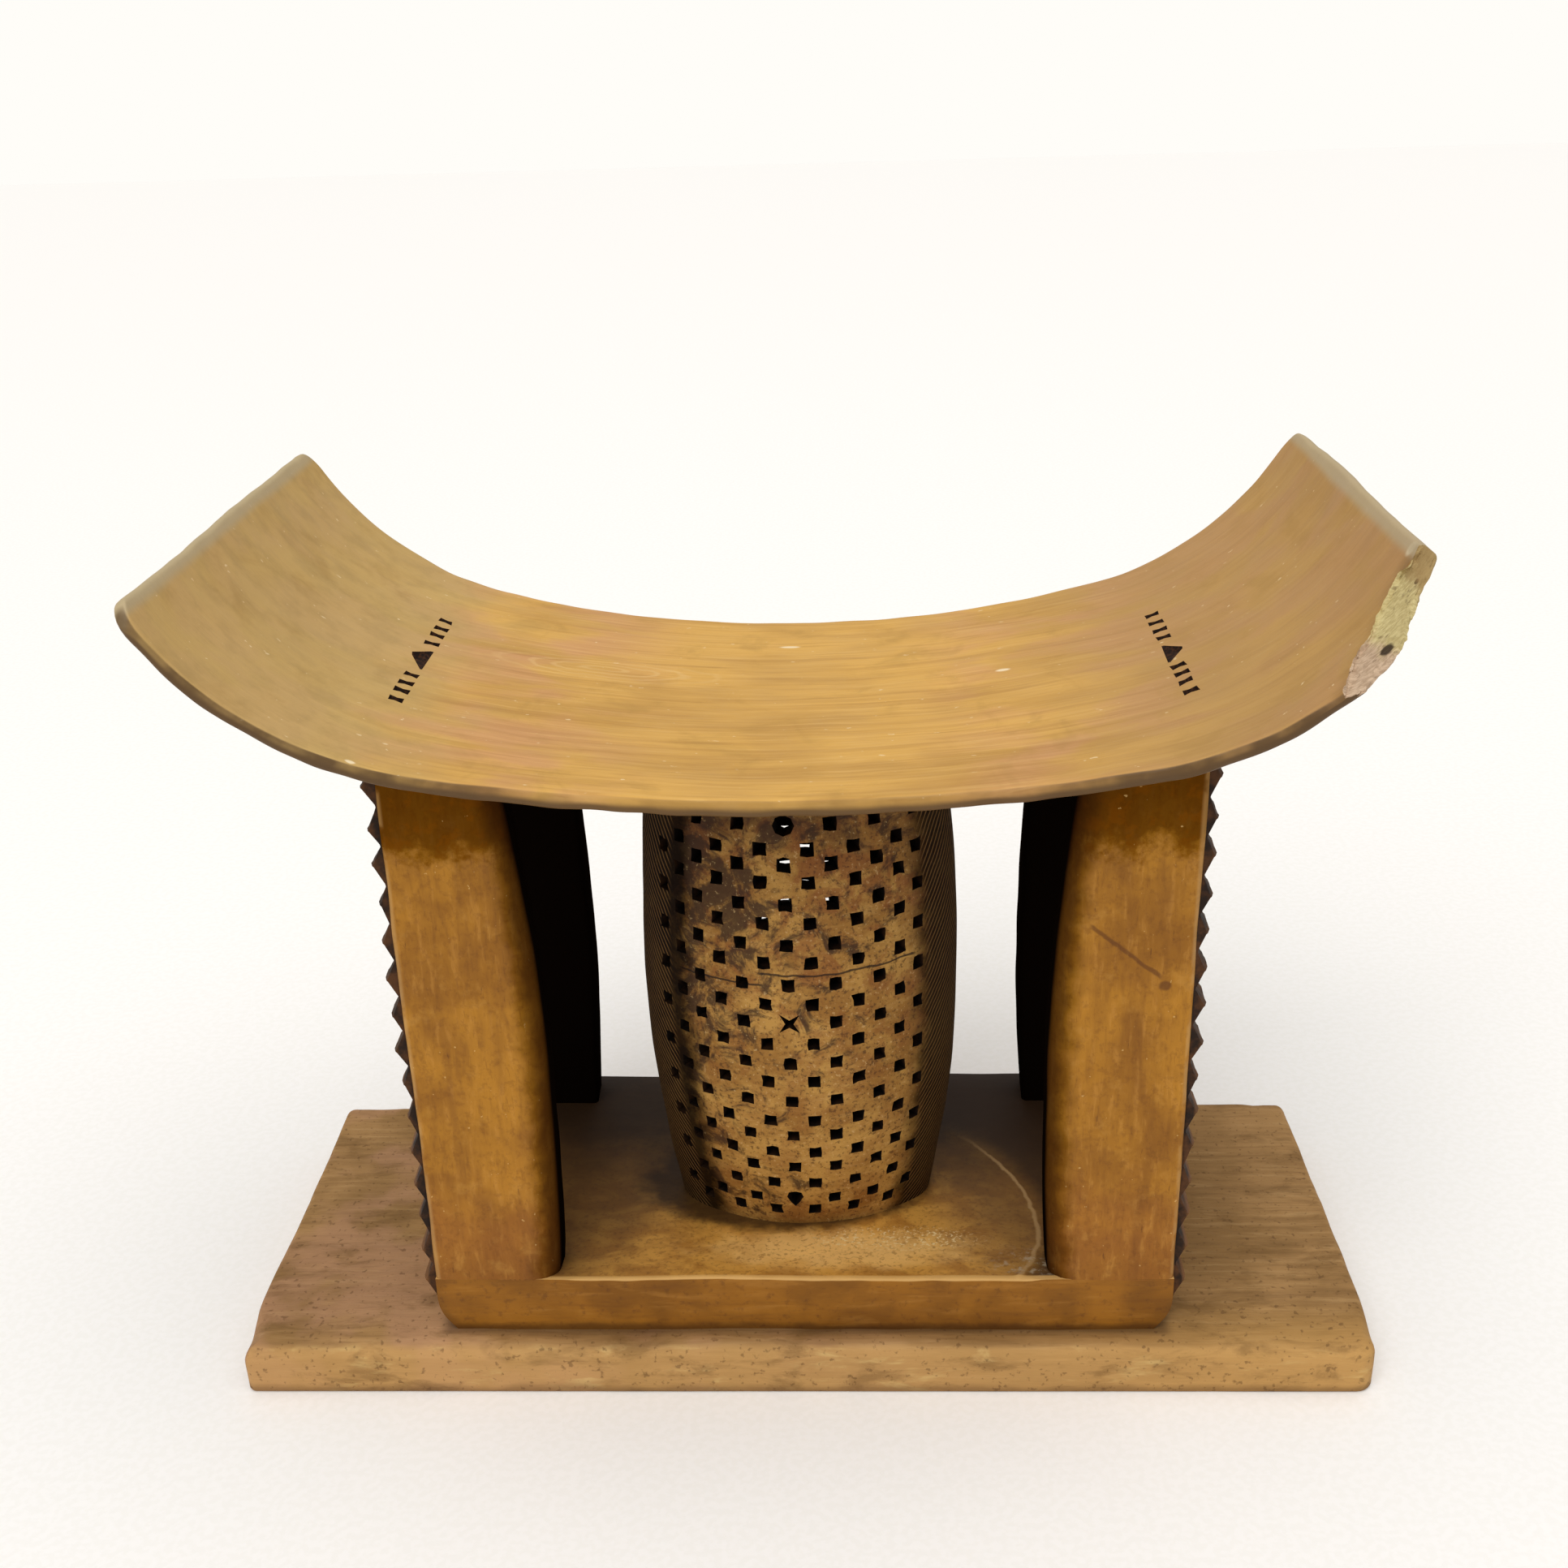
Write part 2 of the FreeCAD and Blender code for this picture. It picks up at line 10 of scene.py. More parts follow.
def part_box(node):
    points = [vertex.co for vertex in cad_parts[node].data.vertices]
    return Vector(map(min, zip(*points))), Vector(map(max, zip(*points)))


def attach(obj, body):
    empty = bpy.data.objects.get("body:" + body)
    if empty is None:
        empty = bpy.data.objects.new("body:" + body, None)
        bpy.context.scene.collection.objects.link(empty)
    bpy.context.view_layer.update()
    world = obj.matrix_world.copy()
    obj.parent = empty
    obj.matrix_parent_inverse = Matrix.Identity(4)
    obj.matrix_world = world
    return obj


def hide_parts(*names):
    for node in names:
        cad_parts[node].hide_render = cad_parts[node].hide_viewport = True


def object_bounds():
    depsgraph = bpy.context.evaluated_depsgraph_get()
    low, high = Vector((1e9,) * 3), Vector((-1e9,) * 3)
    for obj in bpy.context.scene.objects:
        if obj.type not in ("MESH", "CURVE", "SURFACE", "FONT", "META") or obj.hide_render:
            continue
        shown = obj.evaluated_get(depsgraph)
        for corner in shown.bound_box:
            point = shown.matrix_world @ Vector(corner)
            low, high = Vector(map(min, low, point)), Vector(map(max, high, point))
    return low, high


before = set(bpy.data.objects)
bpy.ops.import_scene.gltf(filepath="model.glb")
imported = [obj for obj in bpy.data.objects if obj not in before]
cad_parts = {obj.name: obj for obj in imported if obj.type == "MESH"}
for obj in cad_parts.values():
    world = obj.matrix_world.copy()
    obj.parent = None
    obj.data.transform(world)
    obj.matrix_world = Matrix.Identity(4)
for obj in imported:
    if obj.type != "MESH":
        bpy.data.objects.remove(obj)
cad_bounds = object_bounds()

# An old stool, carved from one block of wood.
# Lengths are in millimetres until a mesh is made, which is in metres.
# X runs to the right, Y to the back and Z up, as in the frame.
MM = 0.001
LEFT, RIGHT = -1, 1
FRONT, BACK = -1, 1

# The photograph's camera
FRAME_PIXELS = 1932
FOCAL_PIXELS = 2225.1
SENSOR_WIDTH = 36.0
CAMERA_PLACE = Vector((23.4, -626.6, 486.4))
CAMERA_YAW = radians(-2.536)
CAMERA_PITCH = radians(23.134)
CAMERA_ROLL = radians(1.757)


def node_box(node):
    """A CAD node's lowest and highest corners, in millimetres."""
    low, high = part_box(node)
    return Vector(low) / MM, Vector(high) / MM


CAD_LOW, CAD_HIGH = (Vector(corner) / MM for corner in cad_bounds)
BASE_HIGH = node_box("base_slab")[1]
PLINTH_HIGH = node_box("plinth")[1]
POST_LOW, POST_HIGH = node_box("post_front_right")
TEETH_HIGH = node_box("serrated_edge_front_right")[1]
COLUMN_LOW, COLUMN_HIGH = node_box("column")
SEAT_LOW, SEAT_HIGH = node_box("seat")

# The carver's uneven hand: how far it strays, and over what length
SLOW_DRIFT, SLOW_LENGTH = 0.9, 70
QUICK_DRIFT, QUICK_LENGTH = 0.3, 17
QUICK_SHIFT = Vector((7, 3, 1))

# Base slab
BASE_FOOT_ROUND = 1.3
BASE_SIDE_WEAR = 2.8
BASE_FRONT_WEAR = 3.4
BASE_LEFT_WEAR = 2.0
# From the left front corner and anticlockwise
BASE_CORNER_ROUNDS = (3.5, 7.0, 4.0, 4.0)

# Plinth
HALF_PLINTH = PLINTH_HIGH.x
PLINTH_FACE = PLINTH_HIGH.y
FLOOR = PLINTH_HIGH.z
FLOOR_SAG = 6.5
FRONT_LIP = 2.0
BACK_LIP = 11.0
TUCK = 7.0
TUCK_TOP = BASE_HIGH.z + 14.0
RIM_ROUND = 1.2
# The front rim is rounded between the posts, up to here
RIM_END = (85, 92)
# The floor was scraped round the column inside an oval, whose edge stands up at the right
SCRAPED_CENTRE = (0, -31)
SCRAPED_RADII = (92.5, 85)
SCRAPED_RIDGE = 0.5

# Posts
POST_WIDTH = 49.5
POST_DEPTH = POST_HIGH.y - POST_LOW.y
POST_WAIST = 125.0
POST_BOW_RADIUS = 1025.0
POST_INNER_ROUND = 8.5
POST_WORN_ROUND = 2.2

# Serrated edges
TOOTH_COUNT = 15
TOOTH_ROOT = 0.6
TOOTH_TIP_SHARE = 0.52
TOOTH_TIP_ROUND = 0.5
TOOTH_TIP_HALF_WIDTH = 0.55
TOOTH_END_WEAR = 0.9
TEETH_SINK = 1.5
TEETH_INSET = 2

# Column
COLUMN_SIDE_RADIUS = 32.0
COLUMN_SIDE_OFFSET = 29.2
COLUMN_FACE_BOW = 14.0
COLUMN_BELLY = 150.0
COLUMN_BULGE_RADIUS = 627.0
COLUMN_FACE_BULGE_RADIUS = 410.0
COLUMN_WALL = 8.0
LATTICE_STEP = radians(7.3)
LATTICE_OFFSETS = {FRONT: radians(-2.8), BACK: radians(1.2)}
LATTICE_SIDE_COLUMNS = 6
HOLE_HALF_WIDTH = 2.4
HOLE_HALF_HEIGHT = 2.5

# Seat
SEAT_CENTRE_HEIGHT = 252.3
SEAT_MIDDLE_RADIUS = 573.0
SEAT_MIDDLE_ANGLE = radians(12.1)
SEAT_END_RADIUS = 121.2
SEAT_END_ANGLE = radians(61.9)
SEAT_CORE_THICKNESS = 11.0
SEAT_EDGE_THICKNESS = 4.6
SEAT_CORE_DEPTH = 90.0
SEAT_MIDDLE_DEPTH = 188.0
SEAT_END_DEPTH = SEAT_HIGH.y - SEAT_LOW.y
SEAT_CORNER_ROUND = 11.0
SEAT_STRIPS_ALONG = 190
SEAT_STRIPS_ACROSS = 86


def arc_drop(radius, distance):
    """How far an arc has fallen away at a distance from its crown."""
    return radius - sqrt(max(radius ** 2 - distance ** 2, 0))


def smooth_step(low, high, value):
    share = min(max((value - low) / (high - low), 0.0), 1.0)
    return share * share * (3 - 2 * share)


def spread(start, end, count):
    return [start + (end - start) * index / count for index in range(count + 1)]


# Meshes


def waver(x, y, z):
    """Smooth noise from minus one to one."""
    return noise.noise(Vector((x, y, z)))


def drift(place):
    """Three smooth noises read far apart, as Blender's own noise_vector isn't the same each run."""
    return Vector([noise.noise(place + Vector((shift, 0, 0))) for shift in (0, 31.4, 67.1)])


def by_hand(point):
    """The carver's uneven hand: a slow drift that is the same at a place on every piece.

    It never leaves the CAD model's box.
    """
    slow = drift(point / SLOW_LENGTH) * SLOW_DRIFT
    quick = drift(point / QUICK_LENGTH + QUICK_SHIFT) * QUICK_DRIFT
    grip = min(point.z / 4, 1)
    moved = point + (slow + quick) * grip
    return Vector([min(max(value, low), high) for value, low, high in zip(moved, CAD_LOW, CAD_HIGH)])


def make_piece(name, points, faces, sharp_angle=35, uneven=True, shaded=None):
    """An object from points in millimetres, without doubled or loose points.

    The list shaded may say which of the object's materials each face has.
    """
    if uneven:
        points = [by_hand(point) for point in points]
    mesh = bpy.data.meshes.new(name)
    mesh.from_pydata([point * MM for point in points], [], faces)
    if shaded:
        mesh.polygons.foreach_set("material_index", shaded)
    sculpt = bmesh.new()
    sculpt.from_mesh(mesh)
    loose = [vert for vert in sculpt.verts if not vert.link_faces]
    bmesh.ops.delete(sculpt, geom=loose, context="VERTS")
    bmesh.ops.remove_doubles(sculpt, verts=sculpt.verts, dist=0.005 * MM)
    bmesh.ops.recalc_face_normals(sculpt, faces=sculpt.faces)
    sculpt.to_mesh(mesh)
    sculpt.free()
    piece = bpy.data.objects.new(name, mesh)
    bpy.context.scene.collection.objects.link(piece)
    smooth(piece, sharp_angle)
    return piece


def smooth(piece, sharp_angle):
    mesh = piece.data
    mesh.polygons.foreach_set("use_smooth", [True] * len(mesh.polygons))
    mesh.set_sharp_from_angle(angle=radians(sharp_angle))
    mesh.update()


def loft(name, rings, sharp_angle=35, uneven=True):
    """A closed solid through rings of points, flat at both ends."""
    points = [point for ring in rings for point in ring]
    return make_piece(name, points, ring_faces(0, len(rings[0]), len(rings)), sharp_angle, uneven)


def ring_faces(first, size, ring_count):
    """The faces between rings of points, and the two that close their ends."""
    last = first + size * (ring_count - 1)
    faces = []
    for low in range(first, last, size):
        high = low + size
        for index in range(size):
            after = (index + 1) % size
            faces.append((low + index, low + after, high + after, high + index))
    faces.append(tuple(range(first, first + size)))
    faces.append(tuple(range(last, last + size)))
    return faces


def cut_out(piece, cutter, sharp_angle=35):
    """Takes a cutter's shape out of a piece, and leaves the cutter's material on the cut."""
    modifier = piece.modifiers.new("cut", "BOOLEAN")
    modifier.operation = "DIFFERENCE"
    modifier.solver = "EXACT"
    modifier.material_mode = "TRANSFER"
    modifier.object = cutter
    graph = bpy.context.evaluated_depsgraph_get()
    mesh = bpy.data.meshes.new_from_object(piece.evaluated_get(graph))
    piece.modifiers.clear()
    old = piece.data
    piece.data = mesh
    bpy.data.meshes.remove(old)
    bpy.data.objects.remove(cutter)
    smooth(piece, sharp_angle)


def rounded_outline(low, high, radii, counts, arc_steps=6):
    """A closed outline with a radius for each corner, from the low corner and anticlockwise."""
    corners = (low, (high[0], low[1]), high, (low[0], high[1]))
    inward = ((1, 1), (-1, 1), (-1, -1), (1, -1))
    arcs = []
    for index, ((x, y), (in_x, in_y), radius) in enumerate(zip(corners, inward, radii)):
        start = pi * (1 + index / 2)
        centre_x, centre_y = x + in_x * radius, y + in_y * radius
        arc = []
        for turn in spread(start, start + pi / 2, arc_steps):
            arc.append((centre_x + radius * cos(turn), centre_y + radius * sin(turn)))
        arcs.append(arc)
    outline = []
    for index, arc in enumerate(arcs):
        outline += arc
        (start_x, start_y), (end_x, end_y) = arc[-1], arcs[(index + 1) % 4][0]
        xs = spread(start_x, end_x, counts[index % 2])
        ys = spread(start_y, end_y, counts[index % 2])
        outline += list(zip(xs, ys))[1:-1]
    return outline


# Base slab and plinth


def base_edge_wear(x, y):
    """How far the base's top edge has worn round: most along the front and at its left end."""
    front = smooth_step(-BASE_HIGH.y + 30, -BASE_HIGH.y + 8, y)
    left = smooth_step(-60, -BASE_HIGH.x, x)
    uneven = 1 + 0.3 * waver(x / 28, y / 28, 6)
    return (BASE_SIDE_WEAR + front * (BASE_FRONT_WEAR + BASE_LEFT_WEAR * left)) * uneven


def base_slab():
    """Rings from the middle of the underside, round the worn edge, to the middle of the top."""
    half = Vector((BASE_HIGH.x, BASE_HIGH.y))
    height = BASE_HIGH.z
    foot = BASE_FOOT_ROUND
    limit = int(half.y) - 4
    shells = [base_outline(half, inset) for inset in range(limit + 2)]
    wears = [base_edge_wear(x, y) for x, y in shells[0]]

    def point(index, inset, z):
        """A ring's point at a distance in from the edge."""
        shell = min(int(inset), limit)
        (x, y), (next_x, next_y) = shells[shell][index], shells[shell + 1][index]
        share = inset - shell
        return Vector((x + (next_x - x) * share, y + (next_y - y) * share, z))

    below = ((70, 0), (40, 0), (10, 0), (foot, 0), (foot * 0.3, foot * 0.3), (0, foot), (0, 2 * foot))
    rings = [[point(index, inset, z) for index in range(len(wears))] for inset, z in below]
    for share in spread(0, 1, 4)[1:]:
        sides = [2 * foot + (height - wear - 2 * foot) * share for wear in wears]
        rings.append([point(index, 0, z) for index, z in enumerate(sides)])
    for turn in spread(0, pi / 2, 9)[1:]:
        ring = []
        for index, wear in enumerate(wears):
            place = point(index, wear * (1 - cos(turn)), height - wear * (1 - sin(turn)))
            chip = max(noise.noise(Vector((place.x, place.y, turn * 9)) / 9), 0) * 0.7
            ring.append(place - Vector((0, 0, chip)))
        rings.append(ring)
    for inset in spread(0, limit, 36)[1:]:
        ring = []
        for index, wear in enumerate(wears):
            place = point(index, wear + (limit - wear) * inset / limit, height)
            place.z -= tool_mark(place.x, place.y) * smooth_step(0, 6, inset)
            ring.append(place)
        rings.append(ring)
    return loft("base_wood", rings)


def base_outline(half, inset):
    """The base's plan at a distance in from its edge, with as many points at every distance."""
    radii = [max(radius - inset, 0.5) for radius in BASE_CORNER_ROUNDS]
    corner = (half.x - inset, half.y - inset)
    return rounded_outline((-corner[0], -corner[1]), corner, radii, (170, 66))


def tool_mark(x, y):
    """Shallow gouges in the base's top, along the plinth's front and slanted beside it."""
    beside = smooth_step(HALF_PLINTH - 6, HALF_PLINTH + 6, abs(x))
    wander = waver(x / 40, y / 40, 3) * 2
    along = sin((y + wander) * 2 * pi / 4.5)
    slanted = sin((y * 0.8 + abs(x) * 0.6 + wander) * 2 * pi / 5.5)
    strength = 0.5 + waver(x / 25, y / 25, 9)
    return 0.22 * strength * (along * (1 - beside) + slanted * beside)


def hollow_height(y):
    """The height of the plinth's floor, which sags between its lips."""
    low = -PLINTH_FACE + FRONT_LIP
    high = PLINTH_FACE - BACK_LIP
    half = (high - low) / 2
    radius = (half ** 2 + FLOOR_SAG ** 2) / (2 * FLOOR_SAG)
    offset = min(abs(y - (low + high) / 2), half)
    return FLOOR - FLOOR_SAG + arc_drop(radius, offset)


def scraped_edge(x, y):
    """Where the floor was scraped round the column: below nought inside it, and above outside."""
    offsets = (x - SCRAPED_CENTRE[0], y - SCRAPED_CENTRE[1])
    return hypot(*(offset / radius for offset, radius in zip(offsets, SCRAPED_RADII))) - 1


def plinth():
    tuck_radius = (TUCK ** 2 + (TUCK_TOP - BASE_HIGH.z) ** 2) / (2 * TUCK)
    ends = [HALF_PLINTH - inset for inset in (0, 0.4, 1.2, 2.4, 4, TUCK)]
    middle = spread(-HALF_PLINTH + TUCK, HALF_PLINTH - TUCK, 150)
    stations = [-x for x in ends[:-1]] + middle + ends[:-1][::-1]
    rings = []
    for x in stations:
        past_foot = max(abs(x) - (HALF_PLINTH - TUCK), 0)
        foot = BASE_HIGH.z - 1
        if past_foot > 0:
            tucked = HALF_PLINTH - abs(x)
            foot = TUCK_TOP - sqrt(max(tuck_radius ** 2 - (tuck_radius - tucked) ** 2, 0))
        rim = RIM_ROUND * (1 - smooth_step(*RIM_END, abs(x))) + 0.05
        rim *= 1 + 0.5 * waver(x / 9, 0, 5)
        profile = [(-PLINTH_FACE, z) for z in spread(foot, FLOOR - rim, 9)]
        for turn in spread(0, pi / 2, 4)[1:]:
            profile.append((-PLINTH_FACE + rim * (1 - cos(turn)), FLOOR - rim * (1 - sin(turn))))
        for y in spread(-PLINTH_FACE + FRONT_LIP, PLINTH_FACE - BACK_LIP, 52):
            ridge = SCRAPED_RIDGE * exp(-(scraped_edge(x, y) * 60) ** 2) if x > 60 and y < 34 else 0
            profile.append((y, hollow_height(y) + ridge))
        profile += [(PLINTH_FACE - 2, FLOOR), (PLINTH_FACE - 0.6, FLOOR - 0.2), (PLINTH_FACE, FLOOR - 0.9)]
        profile += [(PLINTH_FACE, z) for z in spread(FLOOR - 3, foot, 7)]
        profile += [(y, foot) for y in spread(PLINTH_FACE, -PLINTH_FACE, 8)[1:-1]]
        rings.append([Vector((x, y, z)) for y, z in profile])
    return loft("plinth_wood", rings)


# Posts and their serrated edges


def post_inner_x(height):
    return HALF_PLINTH - POST_WIDTH + arc_drop(POST_BOW_RADIUS, height - POST_WAIST)


def post(name, side_x, side_y):
    """A post from the plinth's floor to inside the seat, round at its inner showing edge."""
    rings = []
    for share in spread(0, 1, 70):
        nominal = FLOOR + (SEAT_CENTRE_HEIGHT + 10 - FLOOR) * share
        inner_x = post_inner_x(nominal)
        wear = 1 + 0.35 * waver(side_x * 9, side_y * 5, nominal / 22)
        worn = POST_WORN_ROUND * wear
        outline = rounded_outline(
            (inner_x, PLINTH_FACE - POST_DEPTH),
            (HALF_PLINTH, PLINTH_FACE),
            (worn, worn, worn, POST_INNER_ROUND),
            (22, 9),
        )
        ring = []
        for x, y in outline:
            foot = hollow_height(side_y * y) - 0.6
            top = seat_under_height(x) + 3
            ring.append(Vector((side_x * x, side_y * y, foot + (top - foot) * share)))
        rings.append(ring)
    return loft(name, rings)


def serrated_edge(name, side_x, side_y):
    """Teeth along the outside of a post, each cut by hand, a little different from the next."""
    chance = random.Random(name)
    root_x = HALF_PLINTH + TOOTH_ROOT
    sunk_x = HALF_PLINTH - TEETH_SINK
    top = TEETH_HIGH.z
    pitch = (top - TUCK_TOP) / TOOTH_COUNT
    tips = [(chance.gauss(0, 0.45), chance.gauss(0, 0.5)) for _ in range(TOOTH_COUNT)]
    front_y = PLINTH_FACE - TEETH_INSET
    back_y = front_y - POST_DEPTH + 2 * TEETH_INSET
    rings = []
    for y in spread(front_y, back_y, 6):
        worn = TOOTH_END_WEAR if y in (front_y, back_y) else 0
        outline = [(sunk_x, TUCK_TOP - 1)]
        for tooth, (drift_x, drift_z) in enumerate(tips):
            valley = TUCK_TOP + tooth * pitch
            sway = waver(y / 6, tooth * 3.1, side_x * 7 + side_y * 11) * 0.5
            tip_z = valley + pitch * TOOTH_TIP_SHARE + drift_z + sway
            tip_x = TEETH_HIGH.x + drift_x - worn + sway * 0.4
            outline += [(root_x, valley + 0.3), (root_x + 0.2, valley + 1.2)]
            outline.append((tip_x - TOOTH_TIP_ROUND, tip_z - TOOTH_TIP_HALF_WIDTH))
            outline.append((tip_x, tip_z))
            outline.append((tip_x - TOOTH_TIP_ROUND, tip_z + TOOTH_TIP_HALF_WIDTH))
        outline += [(root_x, top), (sunk_x, top + 1)]
        rings.append([Vector((side_x * x, side_y * y, z)) for x, z in outline])
    return loft(name, rings, 30)


# Column

FACE_CENTRE = (COLUMN_SIDE_OFFSET ** 2 - COLUMN_FACE_BOW ** 2) / (2 * COLUMN_FACE_BOW)
FACE_RADIUS = COLUMN_SIDE_RADIUS + COLUMN_FACE_BOW + FACE_CENTRE
JOINT_ANGLE = atan2(COLUMN_SIDE_OFFSET, FACE_CENTRE)
# Heights of the rows of holes: those through the middle of the face, and those between them
MIDDLE_ROWS = (219.2, 204.5, 189.4, 173.5, 157.2, 141.0, 123.4, 105.9, 89.0, 72.5, 54.4)
BETWEEN_ROWS = (210.3, 197.8, 182.1, 166.2, 149.0, 132.1, 115.0, 96.3, 80.1, 63.5, 48.1)
ROUND_ROW, STAR_ROW, DROP_ROW = MIDDLE_ROWS[0], MIDDLE_ROWS[5], MIDDLE_ROWS[-1]
# The outlines of the three holes that aren't square, from their lower left corner and anticlockwise
ROUND_HOLE = ((-2.8, -2.8), (0, -4), (2.8, -2.8), (4, 0), (2.8, 2.8), (0, 4), (-2.8, 2.8), (-4, 0))
STAR_HOLE = ((-3.9, -4), (0, -1.6), (3.9, -4), (1.6, 0), (3.9, 4), (0, 1.6), (-3.9, 4), (-1.6, 0))
DROP_HOLE = ((-1.7, -2.2), (0, -4.4), (1.7, -2.2), (3.3, 1), (2.5, 3.5), (0, 4.2), (-2.5, 3.5), (-3.3, 1))
DROP_TIP_ROOM = 1.8


def wall_point(face, angle, height, inset):
    """A place on the column's wall: an angle about the face's centre, or past the joint round a side."""
    shrink = arc_drop(COLUMN_BULGE_RADIUS, height - COLUMN_BELLY)
    face_shrink = arc_drop(COLUMN_FACE_BULGE_RADIUS, height - COLUMN_BELLY)
    half_depth = COLUMN_SIDE_RADIUS + COLUMN_FACE_BOW
    flatten = (half_depth - face_shrink) / (half_depth - shrink)
    if abs(angle) <= JOINT_ANGLE:
        reach = FACE_RADIUS - shrink - inset
        x = reach * sin(angle)
        y = reach * cos(angle) - FACE_CENTRE
    else:
        reach = COLUMN_SIDE_RADIUS - shrink - inset
        x = copysign(COLUMN_SIDE_OFFSET, angle) + reach * sin(angle)
        y = reach * cos(angle)
    return Vector((x, face * y * flatten, height))


# An upright line of the column's grid. One that runs through holes has their column and a side.
GridLine = namedtuple("GridLine", "face angle column side", defaults=(None, 0))


def face_lines(face):
    """The grid lines of the front or the back, from the left side to the right one."""
    offset = LATTICE_OFFSETS[face]
    reach = (LATTICE_SIDE_COLUMNS + 0.5) * LATTICE_STEP
    lines = [GridLine(face, angle) for angle in spread(-pi / 2, offset - reach, 12)]
    for column_index in range(-LATTICE_SIDE_COLUMNS, LATTICE_SIDE_COLUMNS + 1):
        angle = offset + column_index * LATTICE_STEP
        lines += [GridLine(face, angle, column_index, side) for side in (-1, 0, 1)]
        lines.append(GridLine(face, angle + LATTICE_STEP / 2))
    lines += [GridLine(face, angle) for angle in spread(offset + reach, pi / 2, 12)[1:]]
    return lines


def is_hole(column_index, row):
    return row in (BETWEEN_ROWS if column_index % 2 else MIDDLE_ROWS)


def in_hole(start, end, low_tag, high_tag):
    """Whether the cell between two upright lines and two levels is part of a hole."""
    if start.column is None or start.column != end.column:
        return False
    if not low_tag or not high_tag or low_tag[0] != high_tag[0]:
        return False
    return is_hole(start.column, low_tag[0])


def column_levels():
    """The grid's heights, each with the row of holes that it belongs to and its side of them."""
    rows = sorted(MIDDLE_ROWS + BETWEEN_ROWS)
    below = spread(COLUMN_LOW.z - 3, rows[0] - HOLE_HALF_HEIGHT, 4)[:-1]
    above = spread(rows[-1] + HOLE_HALF_HEIGHT, COLUMN_HIGH.z + 1, 5)[1:]
    levels = [(height, None) for height in below]
    for row in rows:
        levels += [(row + side * HOLE_HALF_HEIGHT, (row, side)) for side in (-1, 0, 1)]
    return levels + [(height, None) for height in above]


def hole_shift(line, tag, chance):
    """How far a corner of a hole stands from its grid line and its level."""
    special = {ROUND_ROW: ROUND_HOLE, STAR_ROW: STAR_HOLE, DROP_ROW: DROP_HOLE}
    loop = ((-1, -1), (0, -1), (1, -1), (1, 0), (1, 1), (0, 1), (-1, 1), (-1, 0))
    across = line.side * HOLE_HALF_WIDTH
    if not tag:
        return across, 0
    if line.column == 0 and tag == (BETWEEN_ROWS[-1], 1):
        return across, -DROP_TIP_ROOM
    if not is_hole(line.column, tag[0]) or (line.side, tag[1]) not in loop:
        return across, 0
    if line.column == 0 and tag[0] in special:
        across, up = special[tag[0]][loop.index((line.side, tag[1]))]
        return across, up - tag[1] * HOLE_HALF_HEIGHT
    return across + chance.gauss(0, 0.2), chance.gauss(0, 0.2)


def column():
    """A tube of two walls, with the lattice's holes left out of it and lined from wall to wall."""
    levels = column_levels()
    lines = face_lines(FRONT) + face_lines(BACK)[-2:0:-1]
    points = []
    for inset in (0, COLUMN_WALL):
        chance = random.Random(11)
        for height, tag in levels:
            reach = FACE_RADIUS - arc_drop(COLUMN_BULGE_RADIUS, height - COLUMN_BELLY)
            for line in lines:
                across, up = hole_shift(line, tag, chance) if line.column is not None else (0, 0)
                points.append(wall_point(line.face, line.angle + across / reach, height + up, inset))
    count = len(lines)
    layer = count * len(levels)

    def is_open(row, index):
        if not 0 <= row < len(levels) - 1:
            return False
        start, end = lines[index % count], lines[(index + 1) % count]
        return in_hole(start, end, levels[row][1], levels[row + 1][1])

    faces = []
    shaded = []
    for row in range(len(levels) - 1):
        for index in range(count):
            if is_open(row, index):
                continue
            low_a = row * count + index
            low_b = row * count + (index + 1) % count
            high_a, high_b = low_a + count, low_b + count
            faces.append((low_a, low_b, high_b, high_a))
            faces.append((layer + high_a, layer + high_b, layer + low_b, layer + low_a))
            shaded += [0, 1]
            borders = (
                (low_a, low_b, row == 0, is_open(row - 1, index)),
                (high_b, high_a, row == len(levels) - 2, is_open(row + 1, index)),
                (high_a, low_a, False, is_open(row, index - 1)),
                (low_b, high_b, False, is_open(row, index + 1)),
            )
            for start, end, is_rim, is_beside_hole in borders:
                if is_rim or is_beside_hole:
                    faces.append((end, start, layer + start, layer + end))
                    shaded.append(int(is_beside_hole))
    return make_piece("column_wood", points, faces, shaded=shaded)


# Seat

SEAT_MIDDLE_RUN = SEAT_MIDDLE_RADIUS * SEAT_MIDDLE_ANGLE
SEAT_END_RUN = SEAT_END_RADIUS * (SEAT_END_ANGLE - SEAT_MIDDLE_ANGLE)
SEAT_RUN = SEAT_MIDDLE_RUN + SEAT_END_RUN
END_CENTRE_X = (SEAT_MIDDLE_RADIUS - SEAT_END_RADIUS) * sin(SEAT_MIDDLE_ANGLE)
END_CENTRE_Z = (SEAT_CENTRE_HEIGHT + SEAT_MIDDLE_RADIUS
                - (SEAT_MIDDLE_RADIUS - SEAT_END_RADIUS) * cos(SEAT_MIDDLE_ANGLE))
TOP_WEAR = 1.7
UNDER_WEAR = 1.9


